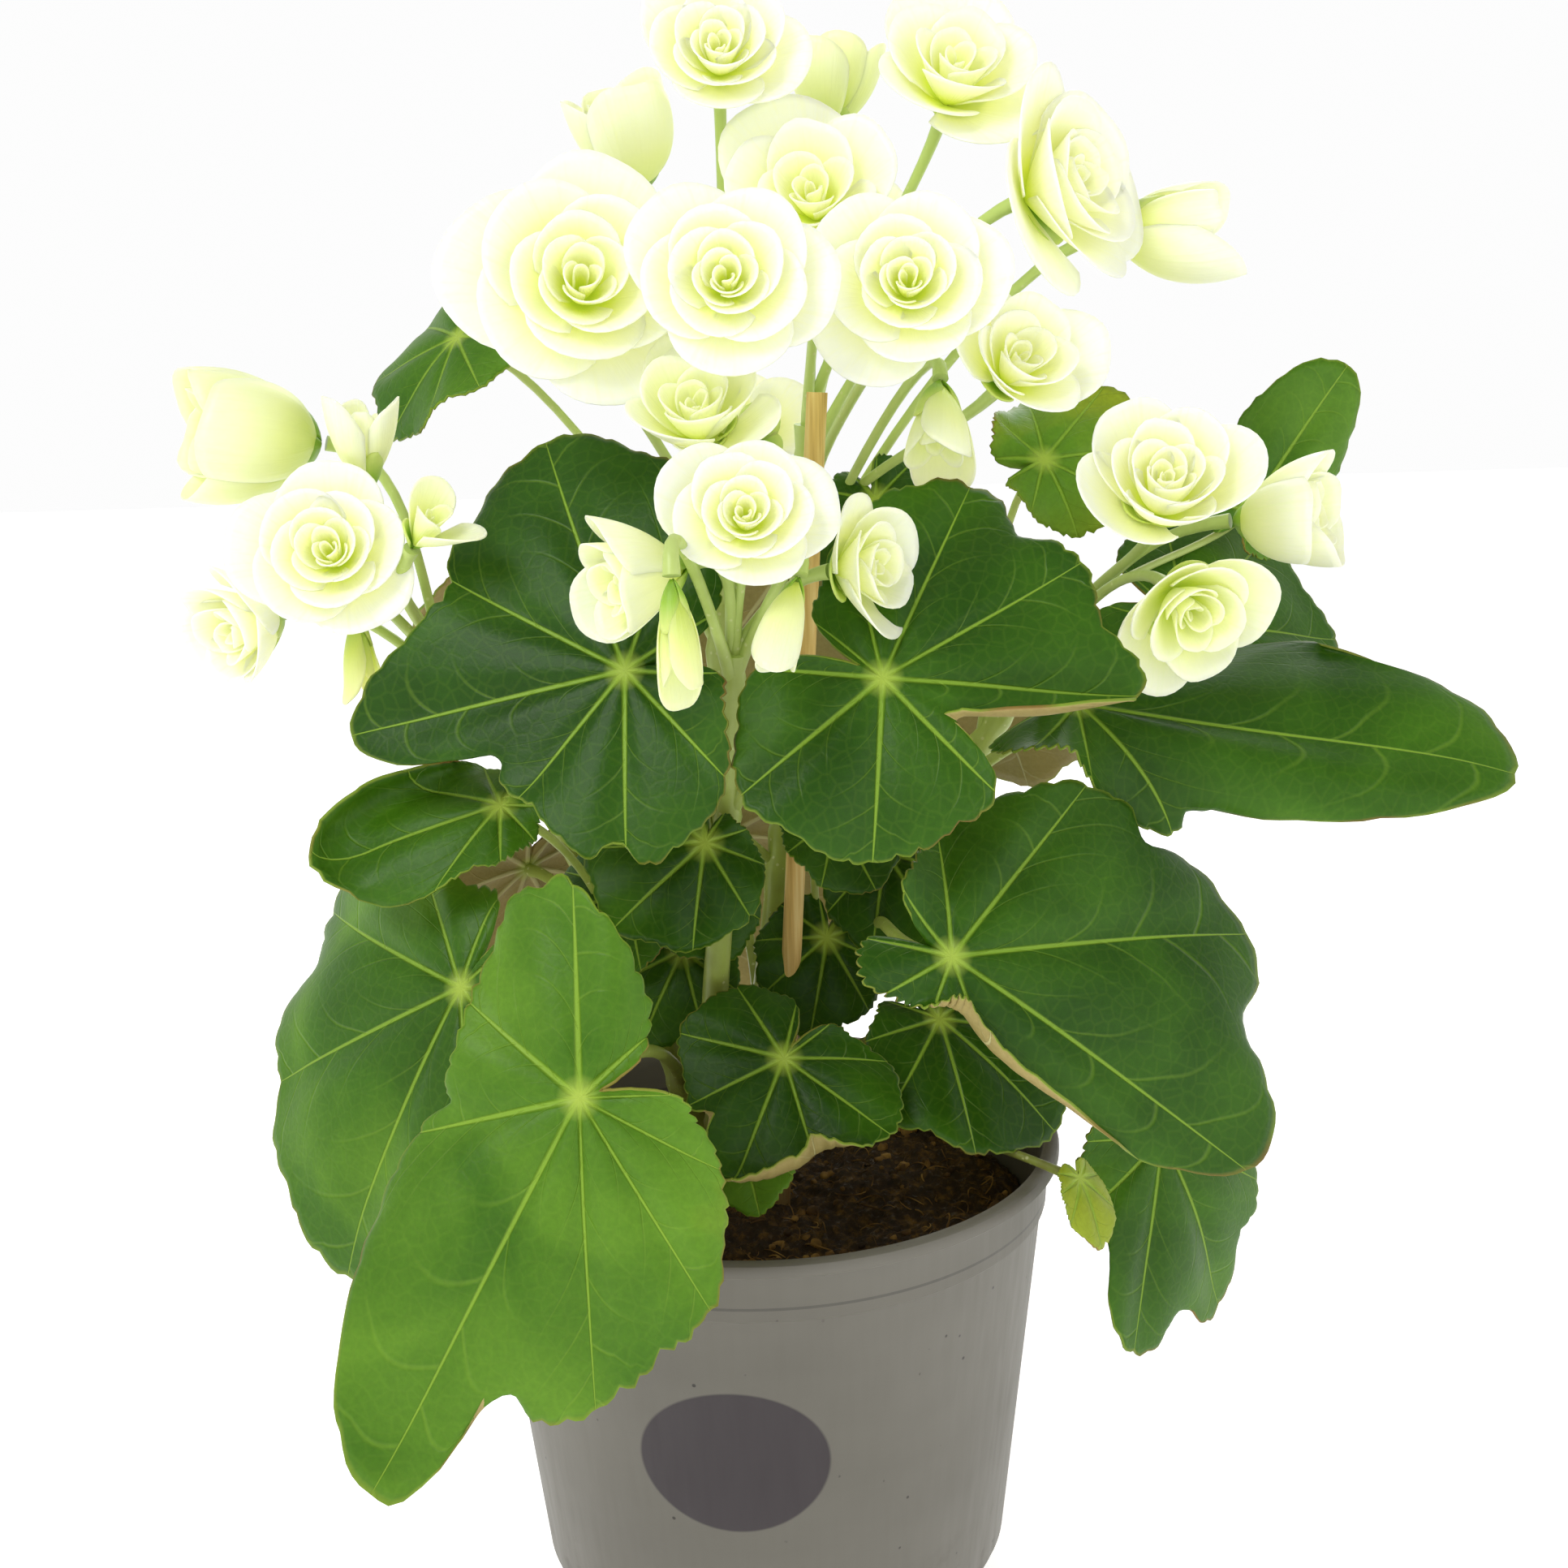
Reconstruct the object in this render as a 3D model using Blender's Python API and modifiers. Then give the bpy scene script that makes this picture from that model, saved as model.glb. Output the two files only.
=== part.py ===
"""A potted begonia with white double flowers, in a plastic grower's pot with a stake.

Metres, +Z up. The origin is the centre of the pot's underside, and +X and -Y face the
side that shows the plant best. Each leaf blade and each bloom is a solid of its own. The
crown, the main stems, the leaf stalks and the flower stalks grew as one, and are one.
Tables and named sizes are in mm and degrees.
"""
from collections import namedtuple
from math import cos, exp, radians, sin, tau
import random

import bmesh
import bpy
from mathutils import Vector

MM = 0.001
GAP = 0.3                   # clearance between pieces that touch on the real plant
SEED = 7
TOOLS = "cutters"

# Pot: a 13 cm grower's pot
RIM_RADIUS = 65.0
MOUTH_RADIUS = 61.1
POT_HEIGHT = 108.0
LIP_HEIGHT = 2.8
LIP_BEVEL = 0.8
WALL_TOP_RADIUS = 62.5
STEP_HEIGHT = 95.3          # fine moulded line round the wall
STEP_DEPTH = 0.8
CORNER_RADIUS = 52.2
CORNER_HEIGHT = 15.0
FOOT_RADIUS = 43.0
FOOT_HEIGHT = 4.0
WALL = 1.3
POT_STEPS = 24
DRAIN_HOLES = 6
DRAIN_RADIUS = 4.0
DRAIN_SIDES = 6
DRAIN_CIRCLE = 30.0
DRAIN_OFFSET = 0.31         # turns the holes off the wall's own facet lines

# Soil and what stands in it
SOIL_TOP = 93.0
SOIL_LUMP = 2.0
SOIL_RINGS = (7, 14, 28)
CROWN_AT = (-7.0, 8.0)
CROWN_RADIUS = 8.0
CROWN_BOTTOM = 72.0
CROWN_TOP = 101.0
STAKE_RADIUS = 2.2
STAKE_FOOT = (-1.6, 0.0, 25.0)
STAKE_TIP = (15.7, 0.0, 269.0)
POST_SIDES = 16

# Main stems, each a smooth line through hand-set points, with its end radii
Stem = namedtuple("Stem", "points base_radius tip_radius")
STEMS = {
    "middle": Stem(((-7, 8, 95), (-8, 10, 140), (-7, 12, 200), (-3, 8, 258)), 3.6, 2.2),
    "left": Stem(((-9, 8, 95), (-24, 4, 135), (-42, 0, 180), (-62, -6, 212)), 3.4, 2.0),
    "right": Stem(((-5, 9, 95), (20, 14, 138), (44, 16, 182), (70, 14, 218)), 3.4, 2.0),
    "front": Stem(((-8, 6, 95), (-10, -10, 132), (-6, -24, 176), (-2, -42, 222)), 3.4, 2.0),
    "back": Stem(((-6, 10, 95), (2, 26, 140), (10, 34, 200), (14, 26, 262)), 3.4, 2.2),
}

# Leaf blades. at: where the veins meet. tip, face: directions of the point and of the
# upper side. reach: distance to the margin in eight or sixteen even steps round from the
# tip, going towards face x tip. sinus: direction of the notch. droop, roof: how far the
# tip and the sides hang. wave: height of the margin's waves. waves: how many go round.
# stem, along: where the stalk leaves the plant.
Leaf = namedtuple("Leaf", "at tip face reach sinus droop roof wave waves size stem along")
LEAVES = {
    "leaf_front_left": Leaf((-30, -88, 152), (-0.49, -0.22, -0.84), (-0.15, -0.93, 0.33),
        (78, 58, 49, 40, 28, 21, 20, 16, 24, 34, 42, 31, 26, 27, 35, 56),
        136, 6, 3, 2.2, 5, "large", "left", 0.18),
    "leaf_outer_left": Leaf((-56, -50, 160), (-0.5, -0.15, -0.85), (-0.5, -0.76, 0.42),
        (64, 50, 32, 22, 20, 25, 50, 57), 175, 8, 5, 2.5, 4, "large", "left", 0.3),
    "leaf_upper_left": Leaf((-22, -50, 220), (-0.97, 0.12, -0.2), (-0.2, -0.85, 0.45),
        (56, 36, 31, 37, 38, 33, 26, 21, 19, 22, 30, 42, 53, 55, 47, 46),
        185, 4, 3, 2.5, 4, "large", "front", 0.62),
    "leaf_centre": Leaf((25, -55, 218), (1, 0.01, -0.08), (0.05, -0.85, 0.5),
        (48, 45, 47, 48, 41, 28, 20, 20, 25, 30, 35, 36, 34, 33, 30, 20),
        155, 3, 4, 2, 5, "large", "front", 0.75),
    "leaf_lower_right": Leaf((36, -65, 168), (0.8, 0, -0.6), (0.3, -0.8, 0.5),
        (72, 73, 70, 57, 43, 30, 22, 17, 16, 18, 20, 14, 12, 12, 17, 36),
        180, 10, 2, 2.5, 5, "large", "right", 0.4),
    "leaf_low_centre": Leaf((5, -32, 137), (-0.38, -0.61, -0.69), (0, -0.75, 0.66),
        (30, 25, 27, 15, 13, 19, 23, 22), 168, 2, 2, 1.2, 4, "large", "front", 0.15),
    "leaf_far_right": Leaf((66, -20, 206), (0.98, -0.01, -0.2), (0.12, -0.62, 0.78),
        (92, 76, 42, 26, 19, 15, 14, 14, 17, 18, 20, 19, 19, 22, 28, 48),
        180, 6, 4, 9, 3, "large", "right", 0.6),
    "leaf_behind_right": Leaf((97, 22, 215), (0.8, -0.06, -0.6), (0.3, -0.72, 0.62),
        (40, 45, 44, 30, 20, 25, 32, 36), 180, 4, 4, 2, 4, "large", "right", 0.8),
    "leaf_low_right": Leaf((88, -2, 105), (-0.3, -0.1, -0.95), (0.45, -0.82, 0.3),
        (48, 46, 32, 22, 20, 18, 19, 24), 180, 6, 5, 2.5, 4, "large", "right", 0.15),
    "leaf_soil_right": Leaf((38, -14, 138), (0.75, -0.3, -0.58), (0.3, -0.6, 0.75),
        (34, 28, 20, 12, 12, 16, 24, 30), 180, 5, 3, 1.5, 4, "small", "right", 0.12),
    "leaf_upper_right": Leaf((65, 20, 253), (0.95, 0.1, 0.2), (0.1, -0.8, 0.6),
        (33, 26, 19, 14, 11, 13, 17, 24), 180, 4, 3, 2.5, 4, "small", "right", 0.75),
    "leaf_far_top": Leaf((114, 36, 240), (0.6, 0.2, 0.78), (0.15, -0.9, 0.3),
        (42, 19, 12, 11, 10, 12, 14, 19), 180, -3, 2, 1.5, 4, "small", "right", 1),
    "leaf_high_left": Leaf((-58, 6, 282), (-0.75, -0.1, -0.62), (-0.5, -0.55, 0.68),
        (25, 21, 19, 17, 16, 20, 26, 26), 180, 6, 3, 2, 4, "small", "middle", 0.75),
    "leaf_middle_left": Leaf((-48, -40, 193), (-0.95, -0.05, -0.28), (-0.15, -0.6, 0.78),
        (39, 19, 12, 9, 9, 10, 15, 22), 180, 3, 4, 2.5, 3, "small", "left", 0.45),
    "leaf_inner_left": Leaf((-9, -38, 184), (-0.15, -0.3, -0.93), (-0.05, -0.9, 0.42),
        (21, 17, 11, 8, 9, 15, 24, 25), 175, 3, 2, 1.2, 4, "small", "front", 0.35),
    "leaf_inner_right": Leaf((17, -10, 182), (0.45, -0.35, -0.8), (0.2, -0.8, 0.56),
        (18, 16, 14, 11, 9, 11, 13, 15), 180, 3, 2, 1.2, 4, "small", "right", 0.25),
    "leaf_rim": Leaf((64, -38, 112), (0.25, -0.25, -0.95), (0.6, -0.6, 0.5),
        (15, 11, 7, 5, 4, 5, 6, 9), 180, 2, 1, 0.5, 3, "small", "right", 0.08),
    "leaf_crest": Leaf((4, 14, 305), (0.55, -0.55, -0.55), (0.05, -0.6, 0.8),
        (15, 12, 10, 8, 7, 8, 10, 12), 180, 3, 2, 1, 4, "small", "middle", 1),
    "leaf_soil_front": Leaf((-4, -37, 122), (0.2, -0.7, -0.68), (-0.1, -0.72, 0.68),
        (16, 13, 10, 8, 7, 8, 10, 12), 180, 2, 1, 0.8, 3, "small", "front", 0.08),
    "leaf_back_left_high": Leaf((-46, 42, 226), (-0.55, 0.55, -0.62), (-0.38, 0.72, 0.58),
        (50, 38, 32, 26, 22, 26, 30, 36), 180, 6, 5, 2.5, 5, "back", "middle", 0.6),
    "leaf_back_high": Leaf((8, 68, 226), (0.1, 0.72, -0.68), (0.05, 0.8, 0.6),
        (52, 40, 34, 28, 24, 26, 32, 38), 170, 6, 5, 2.5, 5, "back", "back", 0.62),
    "leaf_back_right_high": Leaf((52, 52, 212), (0.45, 0.6, -0.66), (0.4, 0.72, 0.57),
        (50, 38, 30, 24, 22, 26, 32, 38), 180, 6, 5, 2.5, 4, "back", "back", 0.5),
    "leaf_back_left_low": Leaf((-56, 48, 158), (-0.5, 0.4, -0.77), (-0.58, 0.68, 0.45),
        (54, 42, 34, 26, 22, 28, 34, 40), 180, 8, 5, 2.5, 5, "back", "left", 0.2),
    "leaf_back_low": Leaf((-8, 76, 158), (0, 0.45, -0.9), (0, 0.88, 0.47),
        (56, 44, 34, 28, 24, 28, 36, 42), 170, 8, 5, 2.5, 4, "back", "back", 0.25),
    "leaf_back_right_low": Leaf((56, 58, 150), (0.5, 0.4, -0.77), (0.6, 0.65, 0.46),
        (52, 40, 32, 26, 22, 26, 34, 40), 180, 8, 5, 2.5, 5, "back", "back", 0.2),
    "leaf_back_small": Leaf((-32, 30, 190), (-0.4, 0.6, -0.69), (-0.3, 0.8, 0.52),
        (28, 22, 18, 14, 12, 14, 18, 20), 180, 3, 2, 1.5, 4, "small", "back", 0.45),
}
BLADE_THICKNESS = 0.7
BLADE_RINGS = {"large": (8, 16, 32), "back": (5, 10, 20), "small": (5, 10, 20)}
BLADE_SPACING = 0.85        # under 1 brings the rings closer to the margin
TOOTH_DEPTH = {"large": 0.07, "back": 0.08, "small": 0.10}
SINUS_DEPTH = 0.72          # share of the reach that the notch takes away
SINUS_WIDTH = 13.0
LEAF_STALK_RADIUS = {"large": 1.6, "back": 1.6, "small": 1.1}
LEAF_STALK_ROUNDNESS = {"large": 1, "back": 0, "small": 0}

# Blooms. at: the heart's root. face: where the bloom looks. radius: length of the outer
# petals. petals: how many. opening: how wide the outermost petal stands from the face
# direction, in degrees. cup: how far that petal's end bends back in. stem, along: where
# the flower stalk leaves the plant.
Bloom = namedtuple("Bloom", "at face radius petals opening cup stem along")
BLOOMS = {
    "bloom_top": Bloom((-2, -7, 330), (0.02, -0.9, 0.42), 19, 6, 82, 42, "middle", 1),
    "bloom_top_left": Bloom((-19, 0, 310), (-0.2, -0.3, 0.93), 23, 5, 72, 82, "middle", 1),
    "bloom_left": Bloom((-29, -30, 287), (0.16, -0.93, 0.3), 26, 6, 84, 22, "middle", 0.85),
    "bloom_middle": Bloom((-1, -44, 287), (0, -0.95, 0.25), 21, 6, 80, 28, "middle", 0.9),
    "bloom_right": Bloom((32, -32, 286), (-0.05, -0.95, 0.3), 21, 6, 82, 30, "back", 0.9),
    "bloom_top_right": Bloom((43, 6, 325), (0.15, -0.75, 0.65), 21, 5, 82, 35, "back", 1),
    "bloom_inner": Bloom((16, -10, 302), (-0.1, -0.85, 0.5), 19, 5, 80, 28, "back", 1),
    "bloom_right_side": Bloom((57, -8, 305), (0.75, -0.6, 0.25), 24, 6, 80, 30, "back", 0.95),
    "bloom_back_top": Bloom((20, 18, 322), (0.1, 0, 0.99), 20, 5, 66, 72, "back", 1),
    "bud_far_right": Bloom((77, 8, 299), (0.95, -0.2, 0.1), 28, 4, 56, 72, "back", 0.8),
    "bloom_right_low": Bloom((51, -22, 270), (0.3, -0.8, 0.5), 18, 5, 78, 45, "back", 0.85),
    "bud_right_hanging": Bloom((39, -22, 270), (-0.1, -0.5, -0.86), 19, 4, 60, 62, "back", 0.8),
    "bloom_middle_low": Bloom((-7, -41, 261), (-0.05, -0.66, 0.75), 17, 5, 82, 55, "middle", 0.8),
    "bloom_front": Bloom((1, -59, 246), (0.02, -0.9, 0.42), 17, 6, 80, 30, "front", 1),
    "bloom_front_right": Bloom((17, -47, 237), (0.82, -0.56, 0.12), 17, 5, 74, 40, "front", 1),
    "bud_front_right": Bloom((10, -62, 237), (-0.25, -0.45, -0.86), 20, 3, 46, 52, "front", 0.95),
    "bloom_front_left": Bloom((-10, -58, 240), (-0.84, -0.5, -0.2), 22, 5, 68, 62, "front", 0.95),
    "bud_front_left": Bloom((-11, -80, 239), (0.05, -0.15, -0.98), 21, 3, 44, 54, "front", 0.95),
    "bloom_far_left": Bloom((-86, -6, 262), (-0.92, -0.38, 0.12), 33, 5, 68, 72, "left", 1),
    "bud_far_left": Bloom((-74, -18, 253), (0.1, -0.3, 0.95), 20, 4, 52, 60, "left", 0.97),
    "bloom_left_cluster": Bloom((-79, -24, 239), (0, -0.92, 0.36), 20, 6, 80, 30, "left", 0.98),
    "bloom_left_low": Bloom((-95, -12, 228), (-0.6, -0.75, -0.2), 21, 5, 76, 60, "left", 0.95),
    "bud_left_low": Bloom((-79, -14, 228), (0.15, -0.2, -0.96), 17, 3, 38, 46, "left", 0.95),
    "bud_left_inner": Bloom((-62, -36, 243), (0.55, -0.5, 0.65), 15, 3, 50, 26, "left", 0.93),
    "bloom_right_cluster": Bloom((82, -20, 244), (-0.05, -0.8, 0.6), 23, 6, 74, 58, "right", 1),
    "bloom_far_right": Bloom((101, -6, 241), (0.88, -0.45, 0.1), 25, 5, 74, 64, "right", 1),
    "bloom_right_hanging": Bloom((84, -24, 229), (0.2, -0.8, -0.3), 20, 5, 78, 45, "right", 0.95),
    "bloom_behind_left": Bloom((-22, 36, 292), (-0.25, 0.84, 0.46), 21, 5, 80, 25, "middle", 0.95),
    "bloom_behind_right": Bloom((26, 42, 296), (0.2, 0.85, 0.46), 21, 5, 80, 30, "back", 0.95),
    "bloom_behind_low": Bloom((2, 46, 258), (0, 0.92, 0.38), 18, 5, 76, 25, "back", 0.85),
}
PETAL_THICKNESS = 0.65
OUTER_PETALS = 2
OUTER_PETAL_RINGS = (3, 6)
INNER_PETAL_RINGS = (4,)
GOLDEN_TURN = 137.5         # from one petal to the next
PETAL_SPREAD = (64.0, 104.0)   # half the sweep of the outermost and the innermost petal
PETAL_ROUNDING = 56.0       # how much of a cosine rounds the margin's ends
PETAL_ROOT = 0.06           # share of a petal's length that starts inside the core
CORE_SHARE = 0.12           # the core's radius as a share of the bloom's
CORE_STRETCH = 1.5
FLOWER_STALK_BASE = 1.2
FLOWER_STALK_TIP = 1.0
FLOWER_STALK_GAP = 0.8      # from a bloom's core to the middle of its stalk's end
STALK_STEPS = 3
STEM_STEPS = 2


def unit(vector):
    return Vector(vector).normalized()


def mm(point):
    return Vector(point) * MM


def clear_scene():
    for old in list(bpy.data.objects):
        bpy.data.objects.remove(old)


def collection(name):
    made = bpy.data.collections.new(name)
    bpy.context.scene.collection.children.link(made)
    return made


def material(name, colour, roughness, metallic=0.0):
    made = bpy.data.materials.new(name)
    made.use_nodes = True
    shader = made.node_tree.nodes["Principled BSDF"]
    shader.inputs["Base Color"].default_value = (*colour, 1.0)
    shader.inputs["Roughness"].default_value = roughness
    shader.inputs["Metallic"].default_value = metallic
    return made


def put(name, data, look, home):
    piece = bpy.data.objects.new(name, data)
    if look:
        data.materials.append(look)
    home.objects.link(piece)
    return piece


def mesh_from(bm, name):
    data = bpy.data.meshes.new(name)
    bm.to_mesh(data)
    bm.free()
    return data


def cut(piece, tool):
    knife = piece.modifiers.new("cut " + tool.name, "BOOLEAN")
    knife.operation = "DIFFERENCE"
    knife.object = tool


def as_mesh(piece):
    """The piece with its curve and modifiers worked out, as a closed mesh in its place."""
    bpy.context.view_layer.update()
    settled = piece.evaluated_get(bpy.context.evaluated_depsgraph_get())
    data = bpy.data.meshes.new_from_object(settled)
    bm = bmesh.new()
    bm.from_mesh(data)
    bm.transform(piece.matrix_world)
    bmesh.ops.remove_doubles(bm, verts=bm.verts, dist=0.001 * MM)
    bm.to_mesh(data)
    bm.free()
    name = piece.name
    home = piece.users_collection[0]
    bpy.data.objects.remove(piece)
    return put(name, data, None, home)


def fuse(name, pieces, look, home):
    """One closed body out of pieces that overlap."""
    body = pieces[0]
    others = bpy.data.collections.new("fused into " + name)
    bpy.context.scene.collection.children.link(others)
    for piece in pieces[1:]:
        for old in piece.users_collection:
            old.objects.unlink(piece)
        others.objects.link(piece)
    join = body.modifiers.new("fuse", "BOOLEAN")
    join.operation = "UNION"
    join.operand_type = "COLLECTION"
    join.collection = others
    join.solver = "MANIFOLD"
    whole = as_mesh(body)
    for piece in list(others.objects):
        bpy.data.objects.remove(piece)
    bpy.data.collections.remove(others)
    whole.name = name
    whole.data.name = name
    whole.data.materials.clear()
    whole.data.materials.append(look)
    return whole


def fan_sheet(rings, closed, place):
    """A triangulated sheet that spreads from one point, in rings of doubling segments.

    place(rho, turn) gives a point from the share of the way out and the share of the
    sweep. A closed sheet sweeps all the way round, an open one is a sector.
    """
    bm = bmesh.new()
    root = bm.verts.new(place(0.0, 0.5))
    inner = None
    for number, segments in enumerate(rings):
        rho = (number + 1) / len(rings)
        count = segments if closed else segments + 1
        outer = [bm.verts.new(place(rho, i / segments)) for i in range(count)]
        for i in range(segments if inner is None else segments // 2):
            if inner is None:
                bm.faces.new((root, outer[i], outer[(i + 1) % count]))
                continue
            first, middle, last = outer[2 * i], outer[2 * i + 1], outer[(2 * i + 2) % count]
            here, onward = inner[i], inner[(i + 1) % len(inner)]
            bm.faces.new((here, first, middle))
            bm.faces.new((here, middle, onward))
            bm.faces.new((onward, middle, last))
        inner = outer
    bmesh.ops.recalc_face_normals(bm, faces=bm.faces)
    return bm


def thicken(piece, thickness):
    shell = piece.modifiers.new("thickness", "SOLIDIFY")
    shell.thickness = thickness * MM
    shell.offset = 0.0


def smooth_between(a, b, c, d, share):
    """Catmull-Rom: part of the way from b to c on a smooth curve through all four."""
    return (2 * b + (c - a) * share + (2 * a - 5 * b + 4 * c - d) * share ** 2
            + (3 * b - a - 3 * c + d) * share ** 3) / 2


def post(name, radius, foot, tip, look, home, sides=POST_SIDES):
    """A straight round post between two points."""
    foot, tip = mm(foot), mm(tip)
    bm = bmesh.new()
    bmesh.ops.create_cone(bm, cap_ends=True, segments=sides, radius1=radius * MM,
                          radius2=radius * MM, depth=(tip - foot).length)
    piece = put(name, mesh_from(bm, name), look, home)
    piece.location = (foot + tip) / 2
    piece.rotation_mode = "QUATERNION"
    piece.rotation_quaternion = (tip - foot).to_track_quat("Z", "Y")
    if home.name == TOOLS:
        piece.hide_render = True
        piece.display_type = "WIRE"
    return piece


# Pot

def pot_profile():
    """From the base up the inside, over the lip and down the outside, as (radius, z)."""
    lip_bottom = POT_HEIGHT - LIP_HEIGHT
    slope = (WALL_TOP_RADIUS - CORNER_RADIUS) / (lip_bottom - CORNER_HEIGHT)
    step_radius = CORNER_RADIUS + slope * (STEP_HEIGHT - CORNER_HEIGHT)
    inside = [
        (0.0, WALL),
        (FOOT_RADIUS - WALL, WALL),
        (FOOT_RADIUS - WALL, FOOT_HEIGHT + WALL / 2),
        (CORNER_RADIUS - WALL, CORNER_HEIGHT + WALL / 2),
        (MOUTH_RADIUS, POT_HEIGHT - LIP_BEVEL),
    ]
    outside = [
        (RIM_RADIUS - LIP_BEVEL, POT_HEIGHT),
        (RIM_RADIUS, POT_HEIGHT - LIP_BEVEL),
        (RIM_RADIUS, lip_bottom),
        (WALL_TOP_RADIUS, lip_bottom),
        (step_radius + STEP_DEPTH, STEP_HEIGHT),
        (step_radius, STEP_HEIGHT - STEP_DEPTH),
        (CORNER_RADIUS, CORNER_HEIGHT),
        (FOOT_RADIUS, FOOT_HEIGHT),
        (FOOT_RADIUS, 0.0),
        (0.0, 0.0),
    ]
    return inside + outside


def turned(name, profile, home):
    """A solid turned about the Z axis from a profile that starts and ends on the axis."""
    data = bpy.data.meshes.new(name)
    edges = [(i, i + 1) for i in range(len(profile) - 1)]
    data.from_pydata([(r * MM, 0.0, z * MM) for r, z in profile], edges, [])
    piece = put(name, data, None, home)
    lathe = piece.modifiers.new("turn", "SCREW")
    lathe.axis = "Z"
    lathe.angle = tau
    lathe.steps = POT_STEPS
    lathe.render_steps = POT_STEPS
    lathe.use_merge_vertices = True
    lathe.merge_threshold = 0.01 * MM
    return as_mesh(piece)


def add_pot(look, home, tools):
    pot = turned("pot", pot_profile(), home)
    pot.data.materials.append(look)
    for number in range(DRAIN_HOLES):
        turn = tau * (number + DRAIN_OFFSET) / DRAIN_HOLES
        middle = (DRAIN_CIRCLE * cos(turn), DRAIN_CIRCLE * sin(turn))
        hole = post(f"drain hole {number}", DRAIN_RADIUS, (*middle, -WALL), (*middle, 2 * WALL),
                    None, tools, DRAIN_SIDES)
        cut(pot, hole)


# Soil and stake

def inner_radius(z):
    """Inside radius of the pot at a height above its chamfer."""
    low = CORNER_RADIUS - WALL
    share = (z - CORNER_HEIGHT) / (POT_HEIGHT - CORNER_HEIGHT)
    return low + share * (MOUTH_RADIUS - low)


def add_soil(look, home, tools):
    """Peat up to just under the lip, lumpy on top, with plain holes for what stands in it."""
    chance = random.Random(SEED)
    top_radius = inner_radius(SOIL_TOP) - 2 * GAP

    def place(rho, turn):
        lump = chance.uniform(-SOIL_LUMP, SOIL_LUMP) if rho < 1.0 else 0.0
        angle = turn * tau
        return mm((rho * top_radius * cos(angle), rho * top_radius * sin(angle), SOIL_TOP + lump))

    bm = fan_sheet(SOIL_RINGS, True, place)
    edge = [e for e in bm.edges if e.is_boundary]
    levels = (
        (CORNER_RADIUS - WALL - 2 * GAP, CORNER_HEIGHT + WALL),
        (FOOT_RADIUS - WALL - 2 * GAP, FOOT_HEIGHT + WALL),
        (FOOT_RADIUS - WALL - 2 * GAP, WALL + GAP),
    )
    for radius, z in levels:
        grown = bmesh.ops.extrude_edge_only(bm, edges=edge)["geom"]
        edge = [e for e in grown if isinstance(e, bmesh.types.BMEdge) and e.is_boundary]
        for point in {v for e in edge for v in e.verts}:
            outward = Vector((point.co.x, point.co.y, 0.0)).normalized()
            point.co = outward * radius * MM + Vector((0, 0, z * MM))
    bmesh.ops.edgeloop_fill(bm, edges=edge)
    bmesh.ops.recalc_face_normals(bm, faces=bm.faces)
    soil = put("soil", mesh_from(bm, "soil"), look, home)
    above = SOIL_TOP + 10
    cut(soil, post("crown hole", CROWN_RADIUS + GAP, (*CROWN_AT, CROWN_BOTTOM - GAP),
                   (*CROWN_AT, above), None, tools))
    lean = unit(Vector(STAKE_TIP) - Vector(STAKE_FOOT))
    cut(soil, post("stake hole", STAKE_RADIUS + GAP, Vector(STAKE_FOOT) - lean * GAP,
                   Vector(STAKE_FOOT) + lean * (above - STAKE_FOOT[2]), None, tools))


# Stalks

def smooth_line(points, steps):
    """Points along a smooth curve through the given ones."""
    ends = [2 * points[0] - points[1], *points, 2 * points[-1] - points[-2]]
    line = [smooth_between(*four, i / steps)
            for four in zip(ends, ends[1:], ends[2:], ends[3:]) for i in range(steps)]
    return line + [points[-1]]


def stem_point(stem, along):
    """The point a share of the way up a main stem."""
    line = smooth_line([Vector(p) for p in STEMS[stem].points], 8)
    place = along * (len(line) - 1)
    low = min(int(place), len(line) - 2)
    return line[low].lerp(line[low + 1], place - low)


def tube(name, line, base_radius, tip_radius, home, roundness):
    """A tapering round stalk along a line of points."""
    data = bpy.data.curves.new(name, "CURVE")
    data.dimensions = "3D"
    data.bevel_depth = base_radius * MM
    data.bevel_resolution = roundness
    data.use_fill_caps = True
    spline = data.splines.new("POLY")
    spline.points.add(len(line) - 1)
    for number, (point, place) in enumerate(zip(spline.points, line)):
        share = number / (len(line) - 1)
        point.co = (*mm(place), 1.0)
        point.radius = 1.0 + share * (tip_radius / base_radius - 1.0)
    return as_mesh(put(name, data, None, home))


def stalk_line(start, end, arrival):
    """A line that leaves a stem outwards and upwards and arrives along a direction."""
    span = (end - start).length
    out = (end - start).normalized()
    leave = start + (out + Vector((0, 0, 0.5))).normalized() * span * 0.35
    arrive = end - arrival * min(18.0, span * 0.4)
    line = []
    for i in range(STALK_STEPS + 1):
        t = i / STALK_STEPS
        line.append(start * (1 - t) ** 3 + leave * 3 * t * (1 - t) ** 2
                    + arrive * 3 * t * t * (1 - t) + end * t ** 3)
    return line


def leaf_stalk(name, leaf, home):
    """From the stem to just under the blade's vein junction."""
    face = unit(leaf.face)
    arrival = unit(face * 0.75 + unit(leaf.tip) * 0.5)
    radius = LEAF_STALK_RADIUS[leaf.size]
    tilt = (1.0 - arrival.dot(face) ** 2) ** 0.5
    end = Vector(leaf.at) - face * (GAP + BLADE_THICKNESS / 2 + radius * tilt)
    line = stalk_line(stem_point(leaf.stem, leaf.along), end, arrival)
    return tube("stalk of " + name, line, radius, radius * 0.8, home,
                LEAF_STALK_ROUNDNESS[leaf.size])


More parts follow.
